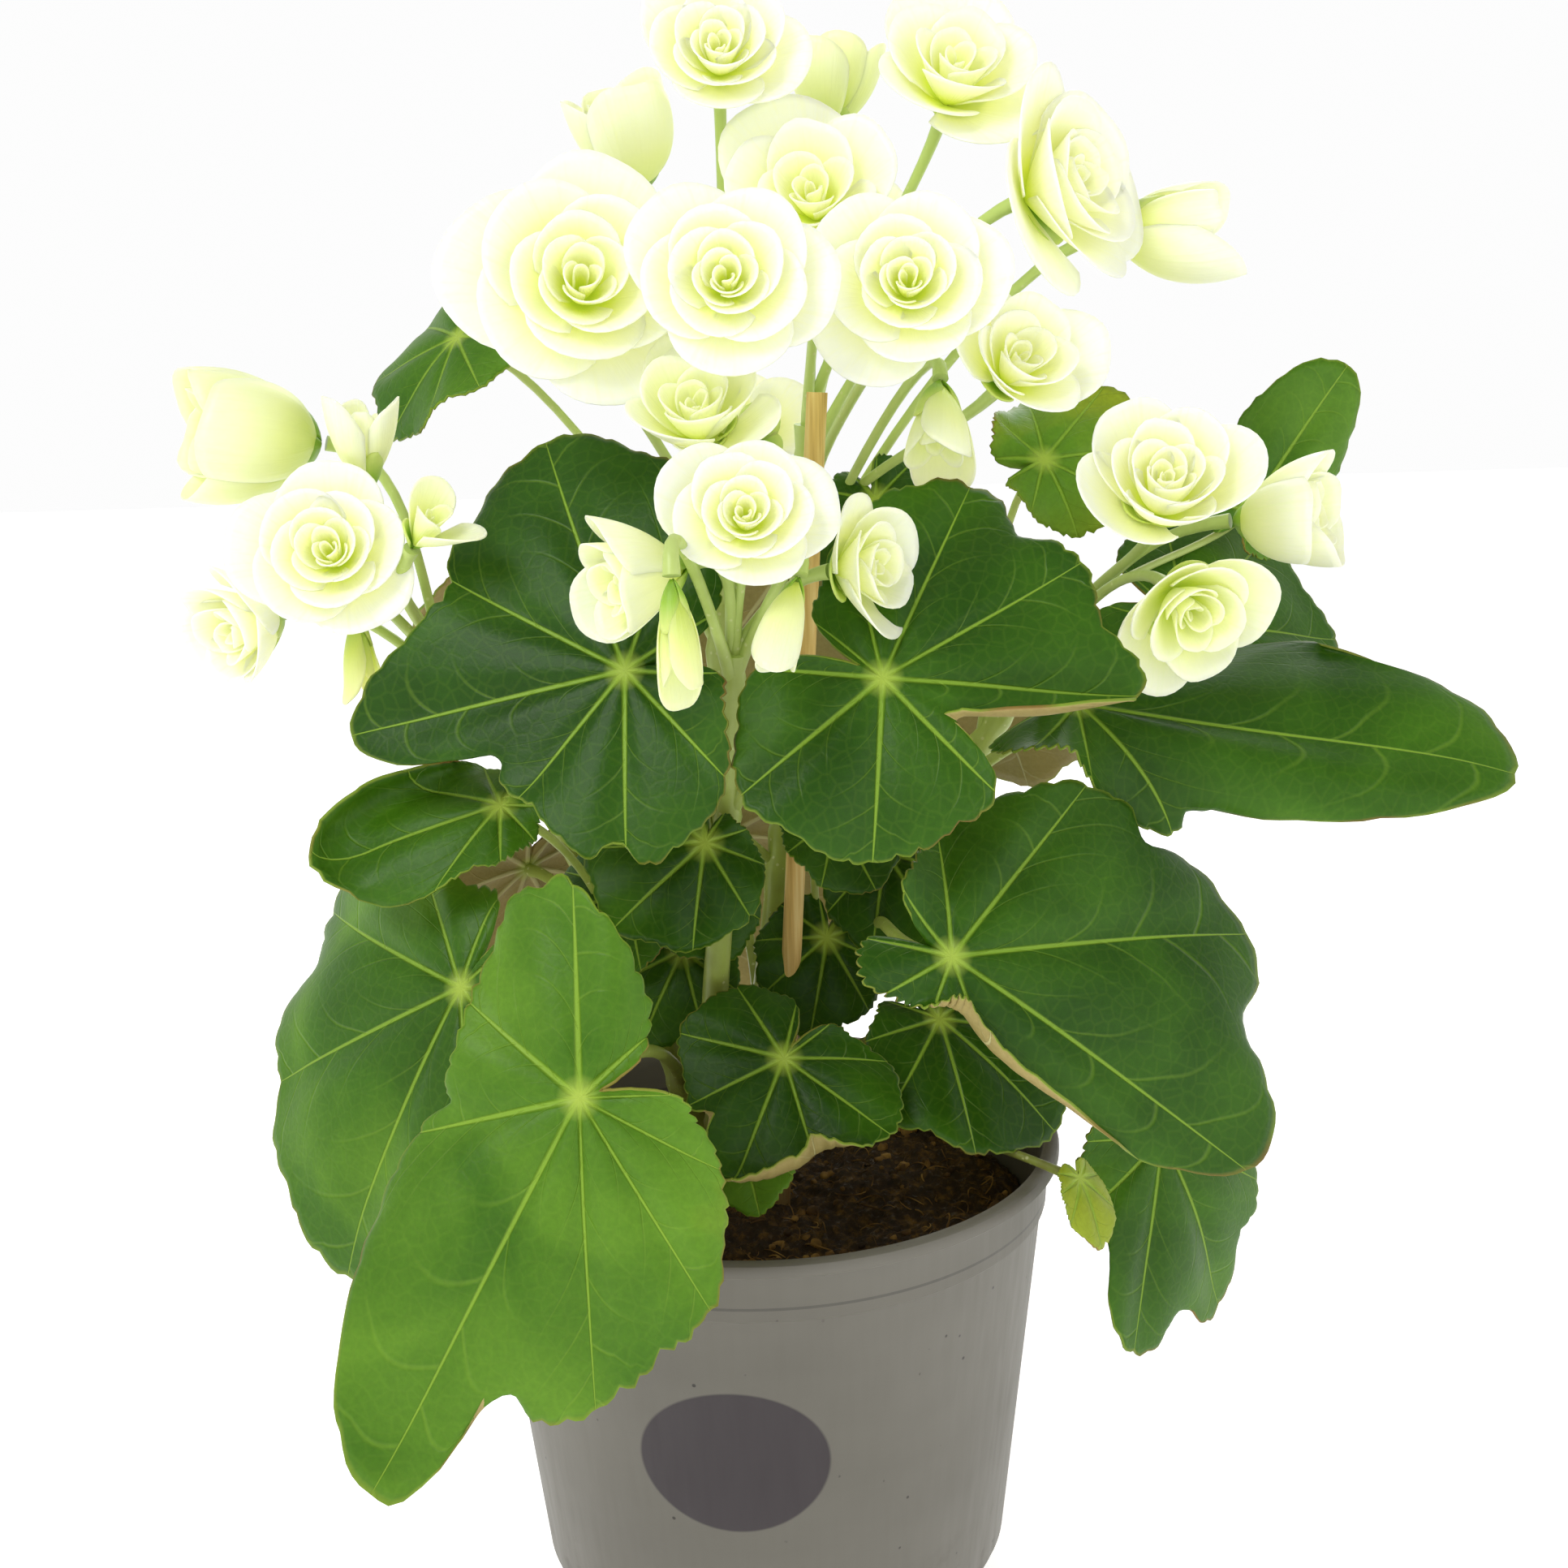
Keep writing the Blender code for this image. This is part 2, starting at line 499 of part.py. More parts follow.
def flower_stalk(name, bloom, home):
    """From the stem to just behind the bloom's core."""
    face = unit(bloom.face)
    end = Vector(bloom.at) - face * (core_radius(bloom) + FLOWER_STALK_GAP)
    line = stalk_line(stem_point(bloom.stem, bloom.along), end, face)
    return tube("stalk of " + name, line, FLOWER_STALK_BASE, FLOWER_STALK_TIP, home, 0)


def add_stems(look, home):
    """The crown, the main stems and every stalk, grown together."""
    half_height = (CROWN_TOP - CROWN_BOTTOM) / 2
    bm = bmesh.new()
    bmesh.ops.create_uvsphere(bm, u_segments=10, v_segments=6, radius=CROWN_RADIUS * MM)
    bmesh.ops.scale(bm, verts=bm.verts, vec=(1, 1, half_height / CROWN_RADIUS))
    bmesh.ops.translate(bm, verts=bm.verts, vec=mm((*CROWN_AT, CROWN_BOTTOM + half_height)))
    pieces = [put("crown", mesh_from(bm, "crown"), None, home)]
    for name, stem in STEMS.items():
        line = smooth_line([Vector(p) for p in stem.points], STEM_STEPS)
        pieces.append(tube("stem " + name, line, stem.base_radius, stem.tip_radius, home, 1))
    pieces += [leaf_stalk(name, leaf, home) for name, leaf in LEAVES.items()]
    pieces += [flower_stalk(name, bloom, home) for name, bloom in BLOOMS.items()]
    fuse("stems", pieces, look, home)


# Leaves

def leaf_reach(leaf, angle):
    """Distance from the vein junction to the margin, at an angle from the tip."""
    count = len(leaf.reach)
    step = (angle % 360.0) / 360.0 * count
    low = int(step)
    four = (leaf.reach[(low + k) % count] for k in (-1, 0, 1, 2))
    off = (angle - leaf.sinus + 180.0) % 360.0 - 180.0
    notch = SINUS_DEPTH * exp(-(off / SINUS_WIDTH) ** 2)
    return smooth_between(*four, step - low) * (1.0 - notch)


def add_leaf(name, leaf, look, home):
    """A thin waved blade with a toothed margin and a notch where its stalk joins."""
    face = unit(leaf.face)
    tip = Vector(leaf.tip)
    tip = (tip - face * tip.dot(face)).normalized()
    side = face.cross(tip)
    rings = BLADE_RINGS[leaf.size]
    quarter = len(leaf.reach) // 4
    width = (leaf.reach[quarter] + leaf.reach[-quarter]) / 2
    phase = sum(leaf.at)

    def place(rho, turn):
        angle = turn * 360.0
        reach = leaf_reach(leaf, angle)
        if rho == 1.0 and round(turn * rings[-1]) % 2:
            reach *= 1.0 - TOOTH_DEPTH[leaf.size]
        along = rho ** BLADE_SPACING * reach * cos(radians(angle))
        across = rho ** BLADE_SPACING * reach * sin(radians(angle))
        height = -leaf.droop * (along / leaf.reach[0]) ** 2
        height -= leaf.roof * (across / width) ** 2
        height += leaf.wave * rho ** 2 * sin(radians(leaf.waves * angle) + phase)
        return mm(Vector(leaf.at) + tip * along + side * across + face * height)

    blade = put(name, mesh_from(fan_sheet(rings, True, place), name), look, home)
    thicken(blade, BLADE_THICKNESS)


# Blooms

def core_radius(bloom):
    return CORE_SHARE * bloom.radius


def add_core(name, bloom, level, home):
    """The small four-sided heart that the petals stand round."""
    radius = core_radius(bloom)
    bm = bmesh.new()
    bmesh.ops.create_uvsphere(bm, u_segments=4, v_segments=2, radius=radius * MM)
    bmesh.ops.translate(bm, verts=bm.verts, vec=(0, 0, radius * MM))
    bmesh.ops.scale(bm, verts=bm.verts, vec=(1, 1, CORE_STRETCH))
    core = put(name + " core", mesh_from(bm, name), None, home)
    core.location = mm(bloom.at) - level @ mm((0, 0, radius))
    core.rotation_mode = "QUATERNION"
    core.rotation_quaternion = level
    return as_mesh(core)


def bowl(way, length, start, finish):
    """Radius and height part of the way up a bowl that turns from one slope to another.
    A slope is measured from the bowl's axis."""
    a, b = radians(start), radians(finish)
    now = a + (b - a) * way
    turn = length / (b - a)
    return turn * (cos(a) - cos(now)), turn * (sin(now) - sin(a))


def add_petal(name, bloom, number, level, home):
    """One bowl-shaped petal. Inner petals are shorter, steeper and wrap further round."""
    inward = number / (bloom.petals - 1)
    middle = radians(number * GOLDEN_TURN + bloom.at[0] * 7)
    start = bloom.opening * (0.86 - 0.66 * inward)
    finish = bloom.opening * (1.12 - inward) - 14 * inward - bloom.cup * (1 - inward)
    length = bloom.radius * (1.08 - 0.46 * inward)
    outermost, innermost = PETAL_SPREAD
    spread = outermost + (innermost - outermost) * inward ** 2

    def place(rho, turn):
        side = 2 * turn - 1
        rounding = cos(radians(side * PETAL_ROUNDING)) ** 0.5 if rho else 1.0
        way = PETAL_ROOT + (1 - PETAL_ROOT) * rho
        radius, height = bowl(way, length * rounding, start, finish)
        around = middle + radians(side * spread)
        point = mm((radius * cos(around), radius * sin(around), height))
        return mm(bloom.at) + level @ point

    rings = OUTER_PETAL_RINGS if number < OUTER_PETALS else INNER_PETAL_RINGS
    sheet = fan_sheet(rings, False, place)
    petal = put(f"{name} petal {number}", mesh_from(sheet, name), None, home)
    thicken(petal, PETAL_THICKNESS)
    return as_mesh(petal)


def add_bloom(name, bloom, look, home):
    level = unit(bloom.face).to_track_quat("Z", "Y")
    pieces = [add_core(name, bloom, level, home)]
    for number in range(bloom.petals):
        pieces.append(add_petal(name, bloom, number, level, home))
    fuse(name, pieces, look, home)


def main():
    clear_scene()
    plant = collection("potted begonia")
    tools = collection(TOOLS)
    add_pot(material("polypropylene", (0.22, 0.22, 0.20), 0.5), plant, tools)
    add_soil(material("peat", (0.05, 0.03, 0.02), 0.95), plant, tools)
    post("stake", STAKE_RADIUS, STAKE_FOOT, STAKE_TIP,
         material("stake wood", (0.62, 0.42, 0.24), 0.7), plant)
    add_stems(material("stem", (0.20, 0.30, 0.08), 0.45), plant)
    leaf_green = material("leaf", (0.04, 0.13, 0.02), 0.35)
    for name, leaf in LEAVES.items():
        add_leaf(name, leaf, leaf_green, plant)
    petal_cream = material("petal", (0.90, 0.90, 0.72), 0.5)
    for name, bloom in BLOOMS.items():
        add_bloom(name, bloom, petal_cream, plant)


main()
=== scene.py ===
# %% [markdown]
# # A potted begonia with white double flowers
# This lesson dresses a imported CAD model: a pot of peat with a branching plant in it. The CAD
# solids already stand in the right places, so every piece below is built where its solid is
# and takes over from it. The plant is made the way it grows: stalks first, then blades at
# their tips, then the flowers, and last the light that shows how thin and juicy it all is.

from collections import namedtuple
from math import atan2, cos, degrees, pi, radians, sin, sqrt, tau
import random

import bpy
from mathutils import Matrix, Quaternion, Vector, noise
import numpy as np


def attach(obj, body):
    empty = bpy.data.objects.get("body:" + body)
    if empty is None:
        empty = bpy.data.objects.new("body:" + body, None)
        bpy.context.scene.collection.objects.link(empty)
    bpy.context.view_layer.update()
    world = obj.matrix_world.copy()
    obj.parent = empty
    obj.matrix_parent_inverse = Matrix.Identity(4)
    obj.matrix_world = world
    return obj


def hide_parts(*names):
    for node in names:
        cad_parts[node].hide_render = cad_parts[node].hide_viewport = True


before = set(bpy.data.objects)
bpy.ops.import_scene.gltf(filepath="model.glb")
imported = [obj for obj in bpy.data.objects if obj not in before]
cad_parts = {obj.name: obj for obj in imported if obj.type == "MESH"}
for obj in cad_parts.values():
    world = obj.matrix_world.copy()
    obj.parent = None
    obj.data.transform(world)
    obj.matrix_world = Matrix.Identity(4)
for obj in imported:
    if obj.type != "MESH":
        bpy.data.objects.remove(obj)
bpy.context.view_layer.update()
bpy.ops.object.select_all(action="DESELECT")
MM = 0.001
SEED = 11
print(len(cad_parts), "CAD nodes stand ready")

# %% [markdown]
# ## Small tools
# Modelling in code repeats a few moves: pick a piece, apply its modifiers, stand one piece
# in for a CAD node. Each move gets a short name here, so that the lessons below read like
# the steps themselves.

# %% Pick, finish and hand over pieces


def pick(*pieces):
    """Selects these pieces only; the last one is active."""
    bpy.ops.object.select_all(action="DESELECT")
    for piece in pieces:
        piece.select_set(True)
        bpy.context.view_layer.objects.active = piece


def apply_modifiers(piece):
    pick(piece)
    for modifier in list(piece.modifiers):
        bpy.ops.object.modifier_apply(modifier=modifier.name)


def settle(piece):
    """Moves a piece's place, turn and size into its mesh."""
    pick(piece)
    bpy.ops.object.transform_apply(location=True, rotation=True, scale=True)


def join(name, pieces):
    """Makes one piece out of several."""
    pick(*pieces)
    if len(pieces) > 1:
        bpy.ops.object.join()
    whole = bpy.context.object
    whole.name = name
    whole.data.name = name
    return whole


def hand_over(piece, slot, *nodes):
    """The piece rides on the plant's one body and stands for these CAD nodes, if any."""
    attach(piece, "root")
    if nodes:
        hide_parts(*nodes)


def places(piece):
    """A mesh's vertex positions, one row each."""
    spots = np.empty(len(piece.data.vertices) * 3)
    piece.data.vertices.foreach_get("co", spots)
    return spots.reshape(-1, 3)


def move_to(piece, spots):
    piece.data.vertices.foreach_set("co", np.asarray(spots, float).reshape(-1))
    piece.data.update()


def thicken(piece, thickness, back_slot=0):
    """Gives a sheet its thickness in mm, half to each side; back_slot paints its back."""
    wall = piece.modifiers.new("thickness", "SOLIDIFY")
    wall.thickness = thickness * MM
    wall.offset = 0
    wall.material_offset = back_slot
    apply_modifiers(piece)
    bpy.ops.object.shade_smooth()


def copy_of(piece, name):
    """A copy with a mesh of its own."""
    twin = piece.copy()
    twin.data = piece.data.copy()
    twin.name = name
    twin.data.name = name
    bpy.context.scene.collection.objects.link(twin)
    return twin


def unit(vector):
    return Vector(vector).normalized()


# %% [markdown]
# ## Colours and shader nodes
# Colours are written as the hex values that a painting program shows, and one function turns
# them into the linear values that light is worked out with. One more function adds a shader
# node, sets its options and plugs in its inputs.

# %% Tools for materials


def colour(hex_code):
    """Linear colour from an sRGB hex code."""
    parts = [int(hex_code[i:i + 2], 16) / 255 for i in (1, 3, 5)]
    return (*[c / 12.92 if c <= 0.04045 else ((c + 0.055) / 1.055) ** 2.4 for c in parts], 1.0)


def add(tree, kind, inputs=None, stops=(), **settings):
    """Adds a shader node with its settings and inputs.

    An input is a value, a socket or a node, which stands for its first live output.
    stops are a colour ramp's (position, hex code) pairs."""
    made = tree.nodes.new("ShaderNode" + kind)
    for name, value in settings.items():
        setattr(made, name, value)
    for key, value in (inputs or {}).items():
        live = [s for s in made.inputs if s.enabled]
        socket = made.inputs[key] if isinstance(key, int) else {s.name: s for s in live}[key]
        if isinstance(value, bpy.types.Node):
            value = next(s for s in value.outputs if s.enabled)
        if isinstance(value, bpy.types.NodeSocket):
            tree.links.new(value, socket)
        else:
            socket.default_value = value
    for number, (position, hex_code) in enumerate(stops):
        if number > 1:
            made.color_ramp.elements.new(position)
        element = made.color_ramp.elements[number]
        element.position = position
        element.color = colour(hex_code)
    return made


def maths(tree, operation, *values):
    return add(tree, "Math", dict(enumerate(values)), operation=operation)


def ramp(tree, value, start, end, first=0.0, last=1.0, **settings):
    """Runs from first to last while a value goes from start to end."""
    return add(tree, "MapRange", {"Value": value, "From Min": start, "From Max": end,
                                  "To Min": first, "To Max": last}, **settings)


def cover(tree, factor, below, above, **settings):
    """Lays a colour, given as a node or a hex code, over another."""
    above = colour(above) if isinstance(above, str) else above
    return add(tree, "Mix", {"Factor": factor, "A": below, "B": above},
               data_type="RGBA", **settings)


def plug(tree, node, shader, name):
    """Plugs a node's first live output into one of the surface shader's inputs."""
    tree.links.new(next(s for s in node.outputs if s.enabled), shader.inputs[name])


def emboss(tree, shader, height, distance, strength):
    """Lets a node's value raise the surface; distance is in mm."""
    bump = add(tree, "Bump", {"Height": height, "Distance": distance * MM,
                              "Strength": strength})
    plug(tree, bump, shader, "Normal")


def new_material(name):
    """An empty material: its node tree and its surface shader."""
    made = bpy.data.materials.new(name)
    made.use_nodes = True
    return made, made.node_tree, made.node_tree.nodes["Principled BSDF"]


# %% [markdown]
# ## The plan of the plant
# These tables say where everything grows, in millimetres, and they repeat the sizes of the
# CAD solids, so each finished piece sits where its solid does. A stem is a smooth line
# through a few points. A leaf is told by the spot where its veins meet, the way its tip and
# its upper side point, and how far its margin reaches in even steps round from the tip. A
# bloom is told by its root, the way it looks and the length of its outer petals.

# %% Stems and leaves
Stem = namedtuple("Stem", "points base_radius tip_radius")
STEMS = {
    "middle": Stem(((-7, 8, 95), (-8, 10, 140), (-7, 12, 200), (-3, 8, 258)), 3.6, 2.2),
    "left": Stem(((-9, 8, 95), (-24, 4, 135), (-42, 0, 180), (-62, -6, 212)), 3.4, 2.0),
    "right": Stem(((-5, 9, 95), (20, 14, 138), (44, 16, 182), (70, 14, 218)), 3.4, 2.0),
    "front": Stem(((-8, 6, 95), (-10, -10, 132), (-6, -24, 176), (-2, -42, 222)), 3.4, 2.0),
    "back": Stem(((-6, 10, 95), (2, 26, 140), (10, 34, 200), (14, 26, 262)), 3.4, 2.2),
}

# Leaf blades. at: where the veins meet. tip, face: directions of the point and of the
# upper side. reach: distance to the margin in eight or sixteen even steps round from the
# tip, going towards face x tip. sinus: direction of the notch. droop, roof: how far the
# tip and the sides hang. wave: height of the margin's waves. waves: how many go round.
# stem, along: where the stalk leaves the plant.
Leaf = namedtuple("Leaf", "at tip face reach sinus droop roof wave waves size stem along")
LEAVES = {
    "leaf_front_left": Leaf((-30, -88, 152), (-0.49, -0.22, -0.84), (-0.15, -0.93, 0.33),
        (78, 58, 49, 40, 28, 21, 20, 16, 24, 34, 42, 31, 26, 27, 35, 56),
        136, 6, 3, 2.2, 5, "large", "left", 0.18),
    "leaf_outer_left": Leaf((-56, -50, 160), (-0.5, -0.15, -0.85), (-0.5, -0.76, 0.42),
        (64, 50, 32, 22, 20, 25, 50, 57), 175, 8, 5, 2.5, 4, "large", "left", 0.3),
    "leaf_upper_left": Leaf((-22, -50, 220), (-0.97, 0.12, -0.2), (-0.2, -0.85, 0.45),
        (56, 36, 31, 37, 38, 33, 26, 21, 19, 22, 30, 42, 53, 55, 47, 46),
        185, 4, 3, 2.5, 4, "large", "front", 0.62),
    "leaf_centre": Leaf((25, -55, 218), (1, 0.01, -0.08), (0.05, -0.85, 0.5),
        (48, 45, 47, 48, 41, 28, 20, 20, 25, 30, 35, 36, 34, 33, 30, 20),
        155, 3, 4, 2, 5, "large", "front", 0.75),
    "leaf_lower_right": Leaf((36, -65, 168), (0.8, 0, -0.6), (0.3, -0.8, 0.5),
        (72, 73, 70, 57, 43, 30, 22, 17, 16, 18, 20, 14, 12, 12, 17, 36),
        180, 10, 2, 2.5, 5, "large", "right", 0.4),
    "leaf_low_centre": Leaf((5, -32, 137), (-0.38, -0.61, -0.69), (0, -0.75, 0.66),
        (30, 25, 27, 15, 13, 19, 23, 22), 168, 2, 2, 1.2, 4, "large", "front", 0.15),
    "leaf_far_right": Leaf((66, -20, 206), (0.98, -0.01, -0.2), (0.12, -0.62, 0.78),
        (92, 76, 42, 26, 19, 15, 14, 14, 17, 18, 20, 19, 19, 22, 28, 48),
        180, 6, 4, 9, 3, "large", "right", 0.6),
    "leaf_behind_right": Leaf((97, 22, 215), (0.8, -0.06, -0.6), (0.3, -0.72, 0.62),
        (40, 45, 44, 30, 20, 25, 32, 36), 180, 4, 4, 2, 4, "large", "right", 0.8),
    "leaf_low_right": Leaf((88, -2, 105), (-0.3, -0.1, -0.95), (0.45, -0.82, 0.3),
        (48, 46, 32, 22, 20, 18, 19, 24), 180, 6, 5, 2.5, 4, "large", "right", 0.15),
    "leaf_soil_right": Leaf((38, -14, 138), (0.75, -0.3, -0.58), (0.3, -0.6, 0.75),
        (34, 28, 20, 12, 12, 16, 24, 30), 180, 5, 3, 1.5, 4, "small", "right", 0.12),
    "leaf_upper_right": Leaf((65, 20, 253), (0.95, 0.1, 0.2), (0.1, -0.8, 0.6),
        (33, 26, 19, 14, 11, 13, 17, 24), 180, 4, 3, 2.5, 4, "small", "right", 0.75),
    "leaf_far_top": Leaf((114, 36, 240), (0.6, 0.2, 0.78), (0.15, -0.9, 0.3),
        (42, 19, 12, 11, 10, 12, 14, 19), 180, -3, 2, 1.5, 4, "small", "right", 1),
    "leaf_high_left": Leaf((-58, 6, 282), (-0.75, -0.1, -0.62), (-0.5, -0.55, 0.68),
        (25, 21, 19, 17, 16, 20, 26, 26), 180, 6, 3, 2, 4, "small", "middle", 0.75),
    "leaf_middle_left": Leaf((-48, -40, 193), (-0.95, -0.05, -0.28), (-0.15, -0.6, 0.78),
        (39, 19, 12, 9, 9, 10, 15, 22), 180, 3, 4, 2.5, 3, "small", "left", 0.45),
    "leaf_inner_left": Leaf((-9, -38, 184), (-0.15, -0.3, -0.93), (-0.05, -0.9, 0.42),
        (21, 17, 11, 8, 9, 15, 24, 25), 175, 3, 2, 1.2, 4, "small", "front", 0.35),
    "leaf_inner_right": Leaf((17, -10, 182), (0.45, -0.35, -0.8), (0.2, -0.8, 0.56),
        (18, 16, 14, 11, 9, 11, 13, 15), 180, 3, 2, 1.2, 4, "small", "right", 0.25),
    "leaf_rim": Leaf((64, -38, 112), (0.25, -0.25, -0.95), (0.6, -0.6, 0.5),
        (15, 11, 7, 5, 4, 5, 6, 9), 180, 2, 1, 0.5, 3, "small", "right", 0.08),
    "leaf_crest": Leaf((4, 14, 305), (0.55, -0.55, -0.55), (0.05, -0.6, 0.8),
        (15, 12, 10, 8, 7, 8, 10, 12), 180, 3, 2, 1, 4, "small", "middle", 1),
    "leaf_soil_front": Leaf((-4, -37, 122), (0.2, -0.7, -0.68), (-0.1, -0.72, 0.68),
        (16, 13, 10, 8, 7, 8, 10, 12), 180, 2, 1, 0.8, 3, "small", "front", 0.08),
    "leaf_back_left_high": Leaf((-46, 42, 226), (-0.55, 0.55, -0.62), (-0.38, 0.72, 0.58),
        (50, 38, 32, 26, 22, 26, 30, 36), 180, 6, 5, 2.5, 5, "back", "middle", 0.6),
    "leaf_back_high": Leaf((8, 68, 226), (0.1, 0.72, -0.68), (0.05, 0.8, 0.6),
        (52, 40, 34, 28, 24, 26, 32, 38), 170, 6, 5, 2.5, 5, "back", "back", 0.62),
    "leaf_back_right_high": Leaf((52, 52, 212), (0.45, 0.6, -0.66), (0.4, 0.72, 0.57),
        (50, 38, 30, 24, 22, 26, 32, 38), 180, 6, 5, 2.5, 4, "back", "back", 0.5),
    "leaf_back_left_low": Leaf((-56, 48, 158), (-0.5, 0.4, -0.77), (-0.58, 0.68, 0.45),
        (54, 42, 34, 26, 22, 28, 34, 40), 180, 8, 5, 2.5, 5, "back", "left", 0.2),
    "leaf_back_low": Leaf((-8, 76, 158), (0, 0.45, -0.9), (0, 0.88, 0.47),
        (56, 44, 34, 28, 24, 28, 36, 42), 170, 8, 5, 2.5, 4, "back", "back", 0.25),
    "leaf_back_right_low": Leaf((56, 58, 150), (0.5, 0.4, -0.77), (0.6, 0.65, 0.46),
        (52, 40, 32, 26, 22, 26, 34, 40), 180, 8, 5, 2.5, 5, "back", "back", 0.2),
    "leaf_back_small": Leaf((-32, 30, 190), (-0.4, 0.6, -0.69), (-0.3, 0.8, 0.52),
        (28, 22, 18, 14, 12, 14, 18, 20), 180, 3, 2, 1.5, 4, "small", "back", 0.45),
}

# %% Blooms and buds
Bloom = namedtuple("Bloom", "at face radius petals opening cup stem along")
BLOOMS = {
    "bloom_top": Bloom((-2, -7, 330), (0.02, -0.9, 0.42), 19, 6, 82, 42, "middle", 1),
    "bloom_top_left": Bloom((-19, 0, 310), (-0.2, -0.3, 0.93), 23, 5, 72, 82, "middle", 1),
    "bloom_left": Bloom((-29, -30, 287), (0.16, -0.93, 0.3), 26, 6, 84, 22, "middle", 0.85),
    "bloom_middle": Bloom((-1, -44, 287), (0, -0.95, 0.25), 21, 6, 80, 28, "middle", 0.9),
    "bloom_right": Bloom((32, -32, 286), (-0.05, -0.95, 0.3), 21, 6, 82, 30, "back", 0.9),
    "bloom_top_right": Bloom((43, 6, 325), (0.15, -0.75, 0.65), 21, 5, 82, 35, "back", 1),
    "bloom_inner": Bloom((16, -10, 302), (-0.1, -0.85, 0.5), 19, 5, 80, 28, "back", 1),
    "bloom_right_side": Bloom((57, -8, 305), (0.75, -0.6, 0.25), 24, 6, 80, 30, "back", 0.95),
    "bloom_back_top": Bloom((20, 18, 322), (0.1, 0, 0.99), 20, 5, 66, 72, "back", 1),
    "bud_far_right": Bloom((77, 8, 299), (0.95, -0.2, 0.1), 28, 4, 56, 72, "back", 0.8),
    "bloom_right_low": Bloom((51, -22, 270), (0.3, -0.8, 0.5), 18, 5, 78, 45, "back", 0.85),
    "bud_right_hanging": Bloom((39, -22, 270), (-0.1, -0.5, -0.86), 19, 4, 60, 62, "back", 0.8),
    "bloom_middle_low": Bloom((-7, -41, 261), (-0.05, -0.66, 0.75), 17, 5, 82, 55, "middle", 0.8),
    "bloom_front": Bloom((1, -59, 246), (0.02, -0.9, 0.42), 17, 6, 80, 30, "front", 1),
    "bloom_front_right": Bloom((17, -47, 237), (0.82, -0.56, 0.12), 17, 5, 74, 40, "front", 1),
    "bud_front_right": Bloom((10, -62, 237), (-0.25, -0.45, -0.86), 20, 3, 46, 52, "front", 0.95),
    "bloom_front_left": Bloom((-10, -58, 240), (-0.84, -0.5, -0.2), 22, 5, 68, 62, "front", 0.95),
    "bud_front_left": Bloom((-11, -80, 239), (0.05, -0.15, -0.98), 21, 3, 44, 54, "front", 0.95),
    "bloom_far_left": Bloom((-86, -6, 262), (-0.92, -0.38, 0.12), 33, 5, 68, 72, "left", 1),
    "bud_far_left": Bloom((-74, -18, 253), (0.1, -0.3, 0.95), 20, 4, 52, 60, "left", 0.97),
    "bloom_left_cluster": Bloom((-79, -24, 239), (0, -0.92, 0.36), 20, 6, 80, 30, "left", 0.98),
    "bloom_left_low": Bloom((-95, -12, 228), (-0.6, -0.75, -0.2), 21, 5, 76, 60, "left", 0.95),
    "bud_left_low": Bloom((-79, -14, 228), (0.15, -0.2, -0.96), 17, 3, 38, 46, "left", 0.95),
    "bud_left_inner": Bloom((-62, -36, 243), (0.55, -0.5, 0.65), 15, 3, 50, 26, "left", 0.93),
    "bloom_right_cluster": Bloom((82, -20, 244), (-0.05, -0.8, 0.6), 23, 6, 74, 58, "right", 1),
    "bloom_far_right": Bloom((101, -6, 241), (0.88, -0.45, 0.1), 25, 5, 74, 64, "right", 1),
    "bloom_right_hanging": Bloom((84, -24, 229), (0.2, -0.8, -0.3), 20, 5, 78, 45, "right", 0.95),
    "bloom_behind_left": Bloom((-22, 36, 292), (-0.25, 0.84, 0.46), 21, 5, 80, 25, "middle", 0.95),
    "bloom_behind_right": Bloom((26, 42, 296), (0.2, 0.85, 0.46), 21, 5, 80, 30, "back", 0.95),
    "bloom_behind_low": Bloom((2, 46, 258), (0, 0.92, 0.38), 18, 5, 76, 25, "back", 0.85),
}


# %% [markdown]
# ## How stalks run
# A stalk leaves its stem outwards and upwards and arrives under its blade or flower along
# that piece's own direction. A stem's line is a Catmull-Rom curve, which passes through
# every given point. The stalk itself is a Bezier curve with its two handles set by the
# direction it leaves and the direction it arrives.

# %% Lines that the stalks follow
LEAF_STALK_RADIUS = {"large": 1.6, "back": 1.6, "small": 1.1}
BLADE_THICKNESS = 0.7

